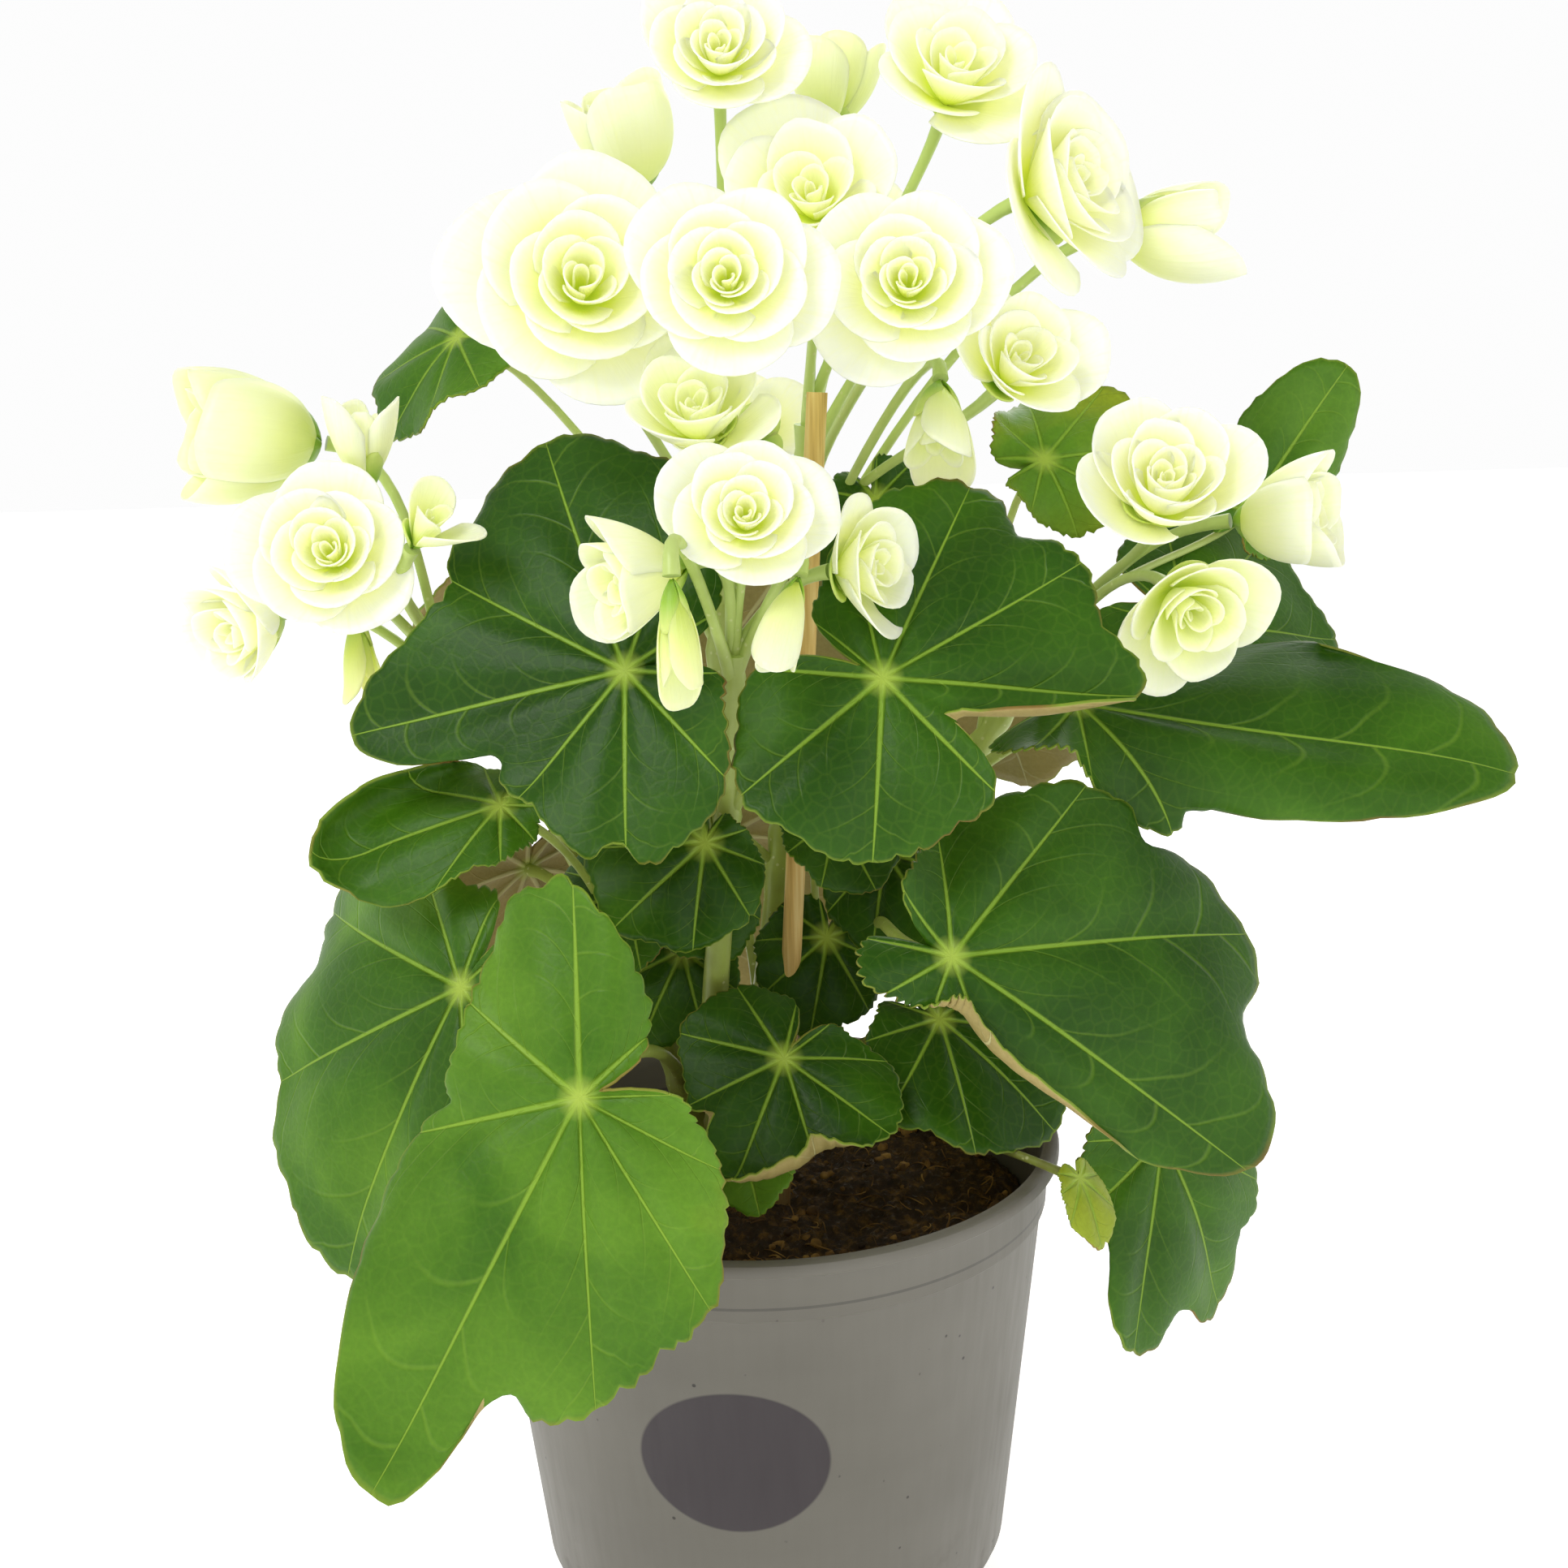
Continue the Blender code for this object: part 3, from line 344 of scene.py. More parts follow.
# Young leaves in the shade of the others, too hidden for solids of their own.
SHADE_LEAVES = {
    "shade_leaf_1": Leaf((-27, -12, 168), (-0.5, -0.2, -0.84), (-0.1, -0.88, 0.45),
        (20, 17, 13, 10, 9, 12, 15, 18), 180, 3, 3, 2, 4, "small", "left", 0.3),
    "shade_leaf_2": Leaf((-12, -8, 168), (0.35, -0.3, -0.88), (0.15, -0.88, 0.44),
        (18, 15, 12, 9, 8, 10, 13, 16), 180, 3, 3, 2, 4, "small", "middle", 0.35),
    "shade_leaf_3": Leaf((28, -2, 172), (0.5, -0.3, -0.8), (-0.15, -0.86, 0.48),
        (26, 21, 15, 11, 9, 12, 17, 22), 180, 4, 3, 2, 4, "small", "right", 0.3),
    "shade_leaf_4": Leaf((15, 2, 152), (-0.2, -0.3, -0.93), (0.1, -0.86, 0.5),
        (22, 18, 14, 10, 9, 12, 15, 19), 180, 4, 3, 2, 4, "small", "back", 0.25),
    "shade_leaf_5": Leaf((-16, -8, 153), (-0.45, -0.3, -0.84), (-0.1, -0.85, 0.5),
        (22, 18, 14, 10, 9, 12, 15, 19), 180, 4, 3, 2, 4, "small", "left", 0.12),
    "shade_leaf_6": Leaf((28, 12, 246), (0.3, -0.2, -0.93), (0.05, -0.9, 0.4),
        (26, 21, 16, 12, 10, 12, 16, 21), 180, 4, 3, 2, 4, "small", "back", 0.8),
}


def smooth_between(a, b, c, d, share):
    """Part of the way from b to c on a smooth curve through all four."""
    return (2 * b + (c - a) * share + (2 * a - 5 * b + 4 * c - d) * share ** 2
            + (3 * b - a - 3 * c + d) * share ** 3) / 2


def smooth_line(points, steps):
    ends = [2 * points[0] - points[1], *points, 2 * points[-1] - points[-2]]
    line = [smooth_between(*four, i / steps)
            for four in zip(ends, ends[1:], ends[2:], ends[3:]) for i in range(steps)]
    return line + [points[-1]]


def stem_point(stem, along):
    line = smooth_line([Vector(p) for p in STEMS[stem].points], 8)
    place = along * (len(line) - 1)
    low = min(int(place), len(line) - 2)
    return line[low].lerp(line[low + 1], place - low)


def stalk_line(start, end, arrival, steps):
    span = (end - start).length
    out = (end - start).normalized()
    leave = start + (out + Vector((0, 0, 0.5))).normalized() * span * 0.35
    arrive = end - arrival * min(18.0, span * 0.4)
    ways = [i / steps for i in range(steps + 1)]
    return [start * (1 - t) ** 3 + leave * 3 * t * (1 - t) ** 2 + arrive * 3 * t * t * (1 - t)
            + end * t ** 3 for t in ways]


def leaf_stalk(leaf, steps=14):
    face = unit(leaf.face)
    arrival = unit(face * 0.75 + unit(leaf.tip) * 0.5)
    tilt = sqrt(1.0 - arrival.dot(face) ** 2)
    under = BLADE_THICKNESS / 2 - 0.3 + LEAF_STALK_RADIUS[leaf.size] * tilt
    end = Vector(leaf.at) - face * under
    return stalk_line(stem_point(leaf.stem, leaf.along), end, arrival, steps)


def flower_stalk(bloom, steps=14):
    face = unit(bloom.face)
    end = Vector(bloom.at) - face * 0.06 * bloom.radius
    return stalk_line(stem_point(bloom.stem, bloom.along), end, face, steps)


print(len(STEMS), "stems,", len(LEAVES), "leaves and", len(BLOOMS), "blooms and buds")

# %% [markdown]
# ## The pot
# A grower's pot is injection-moulded polypropylene: a thin wall, a rolled lip for stiffness,
# a fine step below the lip and a foot that stands the base clear of the bench. It could be
# spun from a profile. Here it is drawn up by extruding one round face and resizing
# it at each level, as by hand, because the solid then stays closed all the way.

# %% Draw up the pot
POT_SIDES = 128
POT_LEVELS = (
    (42.4, 0.0), (43.0, 0.6), (43.1, 3.4), (43.6, 4.4), (51.6, 14.2), (52.3, 15.8), (56.8, 56.0),
    (61.1, 94.2), (61.3, 94.5), (62.0, 95.1), (62.1, 95.5), (62.5, 104.6), (62.9, 105.2),
    (64.5, 105.2), (64.95, 105.6), (65.0, 106.2), (65.0, 107.2), (64.7, 107.8), (64.2, 108.0),
    (62.4, 108.0), (61.6, 107.7), (61.2, 107.0), (60.9, 104.0), (56.4, 62.0), (51.0, 16.4),
    (50.2, 14.8), (42.2, 5.0), (41.7, 4.0), (41.7, 1.3),
)

first_radius, first_level = POT_LEVELS[0]
bpy.ops.mesh.primitive_circle_add(vertices=POT_SIDES, radius=first_radius * MM,
                                  fill_type="NGON", location=(0, 0, first_level * MM))
pot = bpy.context.object
pot.name = "pot_wall"
bpy.ops.object.mode_set(mode="EDIT")
bpy.ops.mesh.select_mode(type="FACE")
for (radius, level), (next_radius, next_level) in zip(POT_LEVELS, POT_LEVELS[1:]):
    rise = (0, 0, (next_level - level) * MM)
    bpy.ops.mesh.extrude_region_move(TRANSFORM_OT_translate={"value": rise})
    share = next_radius / radius
    bpy.ops.transform.resize(value=(share, share, 1))
bpy.ops.mesh.select_all(action="SELECT")
bpy.ops.mesh.normals_make_consistent(inside=False)
bpy.ops.object.mode_set(mode="OBJECT")
print("pot wall:", len(pot.data.polygons), "faces")

# %% Drill the drain holes
DRAIN_HOLES = 6
DRAIN_RADIUS = 4.0
DRAIN_CIRCLE = 0.03         # metres from the pot's middle to the middle of each hole
DRAIN_OFFSET = 0.31         # how far the ring of holes is turned, in steps between holes
for number in range(DRAIN_HOLES):
    turn = tau * (number + DRAIN_OFFSET) / DRAIN_HOLES
    drill_at = (DRAIN_CIRCLE * cos(turn), DRAIN_CIRCLE * sin(turn), 0)
    bpy.ops.mesh.primitive_cylinder_add(vertices=32, radius=DRAIN_RADIUS * MM,
                                        depth=6 * MM, location=drill_at)
    drill = bpy.context.object
    hole = pot.modifiers.new("drain hole", "BOOLEAN")
    hole.operation = "DIFFERENCE"
    hole.object = drill
    apply_modifiers(pot)
    bpy.data.objects.remove(drill)
pick(pot)
bpy.ops.object.shade_smooth_by_angle(angle=radians(35))
settle(pot)
hand_over(pot, "pot", "pot")

# %% [markdown]
# ## Plastic that has been used
# Recycled polypropylene is a matte warm grey. The melt leaves faint streaks, the mould
# leaves a fine grain, and use leaves specks, scuffs and splashes of peat near the foot. All
# of it is worked out from the place on the pot, so nothing has to be painted.

# %% Pot plastic
BADGE_AT = (-7.0, 62.0)     # middle of the plain dark oval, across and up
BADGE_HALF = (19.3, 16.5)
LINE_AT = 97.7              # height of the fine line under the lip

pot_plastic, tree, shader = new_material("grey_recycled_polypropylene")
whole = add(tree, "TexCoord").outputs["Object"]
flow = add(tree, "Mapping", {"Vector": whole, "Scale": (9.0, 9.0, 20.0)})
flow = add(tree, "TexNoise", {"Vector": flow, "Scale": 1.6, "Detail": 5.0})
plastic = add(tree, "ValToRGB", {0: flow}, stops=((0.3, "#605d53"), (0.7, "#6b685e")))
# Dark specks in the melt, in rare groups.
specks = add(tree, "TexVoronoi", {"Vector": whole, "Scale": 420.0})
speck = ramp(tree, specks, 0.13, 0.2, 1.0, 0.0)
groups = add(tree, "TexNoise", {"Vector": whole, "Scale": 160.0, "Detail": 2.0})
groups = ramp(tree, groups, 0.64, 0.68)
speck = maths(tree, "MULTIPLY", speck, groups)
plastic = cover(tree, speck, plastic, "#2c2720")
# Splashes of peat, thick at the foot and gone 35 mm up.
spot = add(tree, "SeparateXYZ", {0: whole})
low = ramp(tree, spot.outputs["Z"], 0.0, 0.035, 0.8, 0.0)
splash = add(tree, "TexNoise", {"Vector": whole, "Scale": 210.0, "Detail": 5.0})
splash = ramp(tree, splash, 0.55, 0.68)
splash = maths(tree, "MULTIPLY", splash, low)
plastic = cover(tree, splash, plastic, "#3a2c1c")
# A fine dark line under the lip, just above the step.
line = maths(tree, "COMPARE", spot.outputs["Z"], LINE_AT * MM, 0.3 * MM)
line = maths(tree, "MULTIPLY", line, 0.55)
plastic = cover(tree, line, plastic, "#3a3833")
# The plain oval on the front, where such pots carry a badge.
far = maths(tree, "SUBTRACT", spot.outputs["X"], BADGE_AT[0] * MM)
far = maths(tree, "DIVIDE", far, BADGE_HALF[0] * MM)
tall = maths(tree, "SUBTRACT", spot.outputs["Z"], BADGE_AT[1] * MM)
tall = maths(tree, "DIVIDE", tall, BADGE_HALF[1] * MM)
oval = add(tree, "CombineXYZ", {"X": far, "Y": tall})
oval = add(tree, "VectorMath", {0: oval}, operation="LENGTH").outputs["Value"]
oval = ramp(tree, oval, 0.97, 1.0, 1.0, 0.0)
front = maths(tree, "LESS_THAN", spot.outputs["Y"], -0.03)
oval = maths(tree, "MULTIPLY", oval, front)
plastic = cover(tree, oval, plastic, "#2e2629")
plug(tree, plastic, shader, "Base Color")
# Upright scuffs and the mould's grain change the gloss and the surface a little.
scuffs = add(tree, "Mapping", {"Vector": whole, "Scale": (500.0, 500.0, 22.0)})
scuffs = add(tree, "TexNoise", {"Vector": scuffs, "Scale": 1.0, "Detail": 3.0})
rough = ramp(tree, scuffs, 0.3, 0.75, 0.46, 0.56)
plug(tree, rough, shader, "Roughness")
grain = add(tree, "TexNoise", {"Vector": whole, "Scale": 1400.0, "Detail": 2.0})
grain = maths(tree, "MULTIPLY_ADD", scuffs, 0.15, grain)
emboss(tree, shader, grain, 0.05, 0.3)
pot.data.materials.append(pot_plastic)

# %% [markdown]
# ## The peat
# Potting peat is a springy brown mass of rotted moss: soft lumps, crumbs on top, and fine
# light roots and fibres that stick out and catch the light. A displaced disc gives the lumps,
# and crumbs and fibres modelled once and copied give the rest.

# %% A lumpy disc of peat
SOIL_TOP = 93.0
SOIL_RADIUS = 58.6
SOIL_STEPS = 150


def lumps(x, y):
    """Height of the peat at a place, in mm."""
    broad = noise.noise(Vector((x * 0.045, y * 0.045, 2.0))) * 2.6
    lump = noise.ridged_multi_fractal(Vector((x * 0.11, y * 0.11, 5.0)), 0.8, 2.1, 4, 0.9, 2.0)
    grain = noise.fractal(Vector((x * 0.5, y * 0.5, 9.0)), 0.7, 2.2, 3)
    return SOIL_TOP - 1.2 + broad + (lump - 1.3) * 1.5 + grain * 0.7


bpy.ops.mesh.primitive_grid_add(x_subdivisions=SOIL_STEPS, y_subdivisions=SOIL_STEPS, size=2)
soil = bpy.context.object
soil.name = "peat"
spots = places(soil)
x, y = spots[:, 0].copy(), spots[:, 1].copy()
# A square becomes a disc when each side is bowed out to the circle.
spots[:, 0] = x * np.sqrt(1 - y * y / 2) * SOIL_RADIUS
spots[:, 1] = y * np.sqrt(1 - x * x / 2) * SOIL_RADIUS
spots[:, 2] = [lumps(px, py) for px, py in spots[:, :2]]
edge = np.hypot(spots[:, 0], spots[:, 1]) / SOIL_RADIUS
spots[:, 2] -= np.clip(edge - 0.9, 0, 1) * 18
move_to(soil, spots * MM)
bpy.ops.object.mode_set(mode="EDIT")
bpy.ops.mesh.select_all(action="SELECT")
bpy.ops.mesh.region_to_loop()
for radius, level in ((50.0, 16.0), (41.0, 5.0), (41.0, 1.7)):
    bpy.ops.mesh.extrude_edges_move()
    bpy.ops.object.mode_set(mode="OBJECT")
    for point in [v for v in soil.data.vertices if v.select]:
        outward = Vector((point.co.x, point.co.y, 0)).normalized()
        point.co = outward * radius * MM + Vector((0, 0, level * MM))
    bpy.ops.object.mode_set(mode="EDIT")
bpy.ops.mesh.edge_face_add()
bpy.ops.mesh.select_all(action="SELECT")
bpy.ops.mesh.normals_make_consistent(inside=False)
bpy.ops.object.mode_set(mode="OBJECT")
bpy.ops.object.shade_smooth()
print("peat:", len(soil.data.polygons), "faces")

# %% Crumbs and fibres
CRUMBS = 260
FIBRES = 240
chance = random.Random(SEED)


def on_peat(margin):
    """A random place on the peat, in mm, clear of the wall by a margin."""
    reach = sqrt(chance.random()) * (SOIL_RADIUS - margin)
    turn = chance.uniform(0, tau)
    x, y = reach * cos(turn), reach * sin(turn)
    return Vector((x, y, lumps(x, y)))


bpy.ops.mesh.primitive_ico_sphere_add(subdivisions=2, radius=1)
crumb = bpy.context.object
spots = places(crumb)
spots *= np.array([[1 + 0.35 * noise.noise(Vector(p) * 1.7)] for p in spots])
move_to(crumb, spots)
litter = []
for number in range(CRUMBS):
    size = chance.uniform(0.5, 1.7) * MM
    piece = copy_of(crumb, f"crumb_{number}")
    turn = Quaternion((chance.uniform(-1, 1), chance.uniform(-1, 1), 1), chance.uniform(0, tau))
    stretch = Matrix.Diagonal((1, chance.uniform(0.6, 1), chance.uniform(0.5, 0.9), 1))
    place = Matrix.Translation(on_peat(4) * MM)
    piece.data.transform(place @ turn.to_matrix().to_4x4() @ stretch @ Matrix.Scale(size, 4))
    litter.append(piece)
bpy.data.objects.remove(crumb)

bpy.ops.mesh.primitive_cylinder_add(vertices=4, radius=1, depth=2, end_fill_type="NGON")
fibre = bpy.context.object
bpy.ops.object.mode_set(mode="EDIT")
bpy.ops.mesh.select_all(action="SELECT")
bpy.ops.mesh.subdivide(number_cuts=5)
bpy.ops.object.mode_set(mode="OBJECT")
straight = places(fibre)
for number in range(FIBRES):
    piece = copy_of(fibre, f"fibre_{number}")
    length, thick = chance.uniform(3, 9), chance.uniform(0.09, 0.22)
    heading, bend = chance.uniform(0, tau), chance.uniform(-2.2, 2.2)
    arch, base = chance.uniform(0.5, 2.2), on_peat(8)
    way = (straight[:, 2] + 1) / 2
    turn = heading + bend * way
    run = np.column_stack((
        base.x + way * length * np.cos(turn) - straight[:, 0] * thick * np.sin(turn),
        base.y + way * length * np.sin(turn) + straight[:, 0] * thick * np.cos(turn),
        base.z - 0.5 + np.sin(way * pi) * arch + straight[:, 1] * thick))
    move_to(piece, run * MM)
    litter.append(piece)
bpy.data.objects.remove(fibre)
litter = join("peat_litter", litter)
bpy.ops.object.shade_smooth()
for piece in (soil, litter):
    settle(piece)
    hand_over(piece, "soil", "soil")
print("litter:", len(litter.data.polygons), "faces")

# %% Peat
# Dark rotted moss, browner where it has dried, with small glints where it is wet.
peat, tree, shader = new_material("damp_peat")
whole = add(tree, "TexCoord").outputs["Object"]
crumbs = add(tree, "TexNoise", {"Vector": whole, "Scale": 320.0, "Detail": 8.0,
                                "Roughness": 0.7})
earth = add(tree, "ValToRGB", {0: crumbs}, stops=(
    (0.3, "#1a1107"), (0.5, "#3d2a12"), (0.62, "#70531f"), (0.78, "#a07c3a")))
plug(tree, earth, shader, "Base Color")
wet = add(tree, "TexNoise", {"Vector": whole, "Scale": 700.0, "Detail": 2.0})
wet = ramp(tree, wet, 0.58, 0.7, 0.85, 0.3)
plug(tree, wet, shader, "Roughness")
emboss(tree, shader, crumbs, 1.2, 0.9)
soil.data.materials.append(peat)

# Crumbs and fibres: lighter dry wood and root, each a little different in colour.
dry, tree, shader = new_material("dry_peat_fibre")
whole = add(tree, "TexCoord").outputs["Object"]
patch = add(tree, "TexNoise", {"Vector": whole, "Scale": 130.0, "Detail": 6.0})
shade = add(tree, "ValToRGB", {0: patch}, stops=(
    (0.35, "#33220f"), (0.48, "#6a4c1f"), (0.6, "#a8823e"), (0.75, "#d6b568")))
plug(tree, shade, shader, "Base Color")
shader.inputs["Roughness"].default_value = 0.75
emboss(tree, shader, patch, 0.4, 0.8)
litter.data.materials.append(dry)

# %% [markdown]
# ## The stake
# The stake is a thin split-wood stick, rounded by machine. A cylinder is its start: its end
# faces are inset, rings are cut along it, and its sides get slight flats, as from a cutter.

# %% Shape the stake
STAKE_RADIUS = 2.2
STAKE_RINGS = 60
STAKE_FOOT = Vector((-1.6, 0.0, 25.0))
STAKE_TIP = Vector((15.7, 0.0, 269.0))
axis = STAKE_TIP - STAKE_FOOT
bpy.ops.mesh.primitive_cylinder_add(vertices=28, radius=STAKE_RADIUS * MM,
                                    depth=axis.length * MM, location=(0, 0, 0))
stake = bpy.context.object
stake.name = "wood_stake"
bpy.ops.object.mode_set(mode="EDIT")
bpy.ops.mesh.select_mode(type="FACE")
bpy.ops.mesh.select_all(action="DESELECT")
bpy.ops.object.mode_set(mode="OBJECT")
for face in stake.data.polygons:
    face.select = abs(face.normal.z) > 0.9
bpy.ops.object.mode_set(mode="EDIT")
bpy.ops.mesh.inset(thickness=0.25 * MM)
for level in range(1, STAKE_RINGS):
    height = axis.length * (level / STAKE_RINGS - 0.5) * MM
    bpy.ops.mesh.select_all(action="SELECT")
    bpy.ops.mesh.bisect(plane_co=(0, 0, height), plane_no=(0, 0, 1))
bpy.ops.object.mode_set(mode="OBJECT")
spots = places(stake)
turn = np.arctan2(spots[:, 1], spots[:, 0])
high = spots[:, 2] / MM
worn = np.array([noise.noise(Vector((cos(t) * 0.8, sin(t) * 0.8, h * 0.03)))
                 for t, h in zip(turn, high)])
spots[:, :2] *= (0.985 + 0.03 * worn - 0.012 * np.cos(turn * 5) ** 2)[:, None]
move_to(stake, spots)
stake.location = (STAKE_FOOT + STAKE_TIP) / 2 * MM
stake.rotation_euler = axis.to_track_quat("Z", "Y").to_euler()
settle(stake)
bpy.ops.object.shade_smooth_by_angle(angle=radians(40))
hand_over(stake, "stake", "stake")
print("stake:", len(stake.data.polygons), "faces")

# %% [markdown]
# ## Stems and stalks
# Begonia stems are thick, soft and full of water, swollen at every joint. A curve with a
# round bevel is the natural start: its points carry a radius of their own, so a stalk can
# taper and swell. All stalks are splines of one curve, which is then made a mesh.

# %% Lay the stalks as one curve
KNUCKLE = 0.35              # how much a stem swells at a joint


def shares(line):
    """How far along a line each of its points is, 0 to 1."""
    return [number / (len(line) - 1) for number in range(len(line))]


def add_run(curve, line, radii):
    run = curve.splines.new("POLY")
    run.points.add(len(line) - 1)
    for point, place, radius in zip(run.points, line, radii):
        point.co = (*(place * MM), 1)
        point.radius = radius


bpy.ops.curve.primitive_nurbs_path_add(location=(0, 0, 0))
stems = bpy.context.object
stems.name = "stems_and_stalks"
curve = stems.data
curve.splines.clear()
curve.bevel_depth = MM
curve.bevel_resolution = 4
curve.use_fill_caps = True
branches = [(leaf.stem, leaf.along) for leaf in LEAVES.values()]
branches += [(bloom.stem, bloom.along) for bloom in BLOOMS.values()]
for name, stem in STEMS.items():
    line = smooth_line([Vector(p) for p in stem.points], 24)
    joints = sorted({along for grown, along in branches if grown == name})
    radii = []
    for way in shares(line):
        near = min((abs(way - joint) for joint in joints), default=1.0)
        plain = stem.base_radius + (stem.tip_radius - stem.base_radius) * way
        radii.append(plain * (1 + KNUCKLE * np.exp(-(near / 0.02) ** 2)))
    add_run(curve, line, radii)
for leaf in (*LEAVES.values(), *SHADE_LEAVES.values()):
    line = leaf_stalk(leaf)
    wide = LEAF_STALK_RADIUS[leaf.size]
    radii = [wide * (1.35 - 0.5 * min(1, w * 5) - 0.1 * w + 0.25 * w ** 8)
             for w in shares(line)]
    add_run(curve, line, radii)
for bloom in BLOOMS.values():
    line = flower_stalk(bloom)
    add_run(curve, line, [1.5 - 0.45 * min(1, w * 4) + 0.55 * w ** 6 for w in shares(line)])
pick(stems)
bpy.ops.object.convert(target="MESH")
bpy.ops.object.shade_smooth()
print("stalks:", len(stems.data.polygons), "faces")

# %% The crown in the peat
CROWN_AT = Vector((-7, 8, 86.5))
bpy.ops.mesh.primitive_uv_sphere_add(segments=40, ring_count=24, radius=8 * MM)
crown = bpy.context.object
crown.name = "crown"
spots = places(crown)
ridge = np.array([noise.fractal(Vector(p) * 160, 0.9, 2.0, 4) for p in spots])
spots = spots * (0.95 + 0.05 * ridge)[:, None] * [1, 1, 14.5 / 8]
move_to(crown, spots + np.array(CROWN_AT * MM))
bpy.ops.object.shade_smooth()
settle(crown)

# %% Skins of wood and stalk
# Split wood: pale tan with long darker grain and a few stains from the wet peat.
wood, tree, shader = new_material("tan_split_wood")
whole = add(tree, "TexCoord").outputs["Object"]
grain = add(tree, "Mapping", {"Vector": whole, "Scale": (900.0, 900.0, 26.0),
                              "Rotation": (0.0, -0.071, 0.0)})
grain = add(tree, "TexNoise", {"Vector": grain, "Scale": 1.0, "Detail": 4.0})
tan = add(tree, "ValToRGB", {0: grain}, stops=(
    (0.3, "#c39b50"), (0.5, "#e6c271"), (0.7, "#f3d992")))
high = add(tree, "SeparateXYZ", {0: whole}).outputs["Z"]
stain = ramp(tree, high, 0.092, 0.135, 0.75, 0.0)
tan = cover(tree, stain, tan, "#5b4326")
plug(tree, tan, shader, "Base Color")
shader.inputs["Roughness"].default_value = 0.62
emboss(tree, shader, grain, 0.25, 0.7)
stake.data.materials.append(wood)

# Stalks: juicy pale green above, darker and browner towards the crown, with fine lengthwise
# threads and small pale breathing spots.
stalk_skin, tree, shader = new_material("begonia_stalk_skin")
whole = add(tree, "TexCoord").outputs["Object"]
high = add(tree, "SeparateXYZ", {0: whole}).outputs["Z"]
mottle = add(tree, "TexNoise", {"Vector": whole, "Scale": 260.0, "Detail": 4.0})
level = ramp(tree, high, 0.09, 0.3)
level = maths(tree, "MULTIPLY_ADD", mottle, 0.3, level)
skin = add(tree, "ValToRGB", {0: level}, stops=(
    (0.08, "#5d4424"), (0.28, "#7f8a3c"), (0.55, "#9db04f"), (1.1, "#c2d67c")))
spots_at = add(tree, "TexVoronoi", {"Vector": whole, "Scale": 380.0})
pale = ramp(tree, spots_at, 0.1, 0.17, 0.5, 0.0)
skin = cover(tree, pale, skin, "#d8dca4")
plug(tree, skin, shader, "Base Color")
shader.inputs["Roughness"].default_value = 0.38
threads = add(tree, "Mapping", {"Vector": whole, "Scale": (900.0, 900.0, 60.0)})
threads = add(tree, "TexNoise", {"Vector": threads, "Scale": 1.0, "Detail": 2.0})
emboss(tree, shader, threads, 0.2, 0.5)

stems = join("stems_and_stalks", [crown, stems])
stems.data.materials.clear()
stems.data.materials.append(stalk_skin)
settle(stems)
hand_over(stems, "stem", "stems")
print("stems and crown:", len(stems.data.polygons), "faces")

# %% [markdown]
# ## What a begonia leaf looks like
# The blade is thin and soft. Nine main veins fan out from the stalk, and each ends in a
# small lobe. The veins lie in valleys and the green between them swells, so the leaf
# looks quilted. Its margin waves and carries small uneven teeth. The underside is paler,
# flushed with tan and pink. The pattern of veins is worked out from two maps that every
# blade carries: "fan" holds the place among the nine veins and the share of the way out,
# and "flat" holds the place on the blade in centimetres.

# %% Vein pattern
VEINS = 9


def vein_masks(tree):
    """How strongly main veins, side veins and the fine net show at a place, 0 to 1."""
    fan = add(tree, "SeparateXYZ", {0: add(tree, "UVMap", uv_map="fan")})
    flat = add(tree, "UVMap", uv_map="flat")
    out_cm = add(tree, "VectorMath", {0: flat}, operation="LENGTH").outputs["Value"]
    spread = maths(tree, "MULTIPLY", fan.outputs["X"], VEINS)
    part = maths(tree, "FRACT", spread)
    lean = maths(tree, "SUBTRACT", part, 0.5)
    off = maths(tree, "ABSOLUTE", lean)
    away = maths(tree, "MULTIPLY", off, out_cm)
    # Main veins are 0.9 mm wide at the stalk and 0.1 mm at the margin.
    wide = ramp(tree, fan.outputs["Y"], 0.0, 1.0, 0.045, 0.005)
    soft_edge = maths(tree, "MULTIPLY_ADD", wide, 2.6, 0.012)
    main = ramp(tree, away, wide, soft_edge, 1.0, 0.0, interpolation_type="SMOOTHSTEP")
    # Side veins fork off the main ones and fade out half-way to the next.
    side = maths(tree, "SIGN", lean)
    wander = add(tree, "TexNoise", {"Vector": flat, "Scale": 0.55, "Detail": 1.0},
                 noise_dimensions="2D")
    climb = maths(tree, "MULTIPLY", fan.outputs["Y"], 4.2)
    climb = maths(tree, "MULTIPLY_ADD", off, -2.6, climb)
    climb = maths(tree, "MULTIPLY_ADD", side, 0.24, climb)
    climb = maths(tree, "MULTIPLY_ADD", wander, 0.3, climb)
    climb = maths(tree, "FRACT", climb)
    climb = maths(tree, "SUBTRACT", climb, 0.5)
    near = maths(tree, "ABSOLUTE", climb)
    branch = ramp(tree, near, 0.005, 0.055, 1.0, 0.0, interpolation_type="SMOOTHSTEP")
    fading = ramp(tree, off, 0.08, 0.42, 1.0, 0.12)
    branch = maths(tree, "MULTIPLY", branch, fading)
    cells = add(tree, "TexVoronoi", {"Vector": flat, "Scale": 3.6},
                voronoi_dimensions="2D", feature="DISTANCE_TO_EDGE")
    net = ramp(tree, cells, 0.0, 0.16, 1.0, 0.0, interpolation_type="SMOOTHSTEP")
    return fan.outputs["Y"], out_cm, main, branch, net


# %% Skins of the leaf


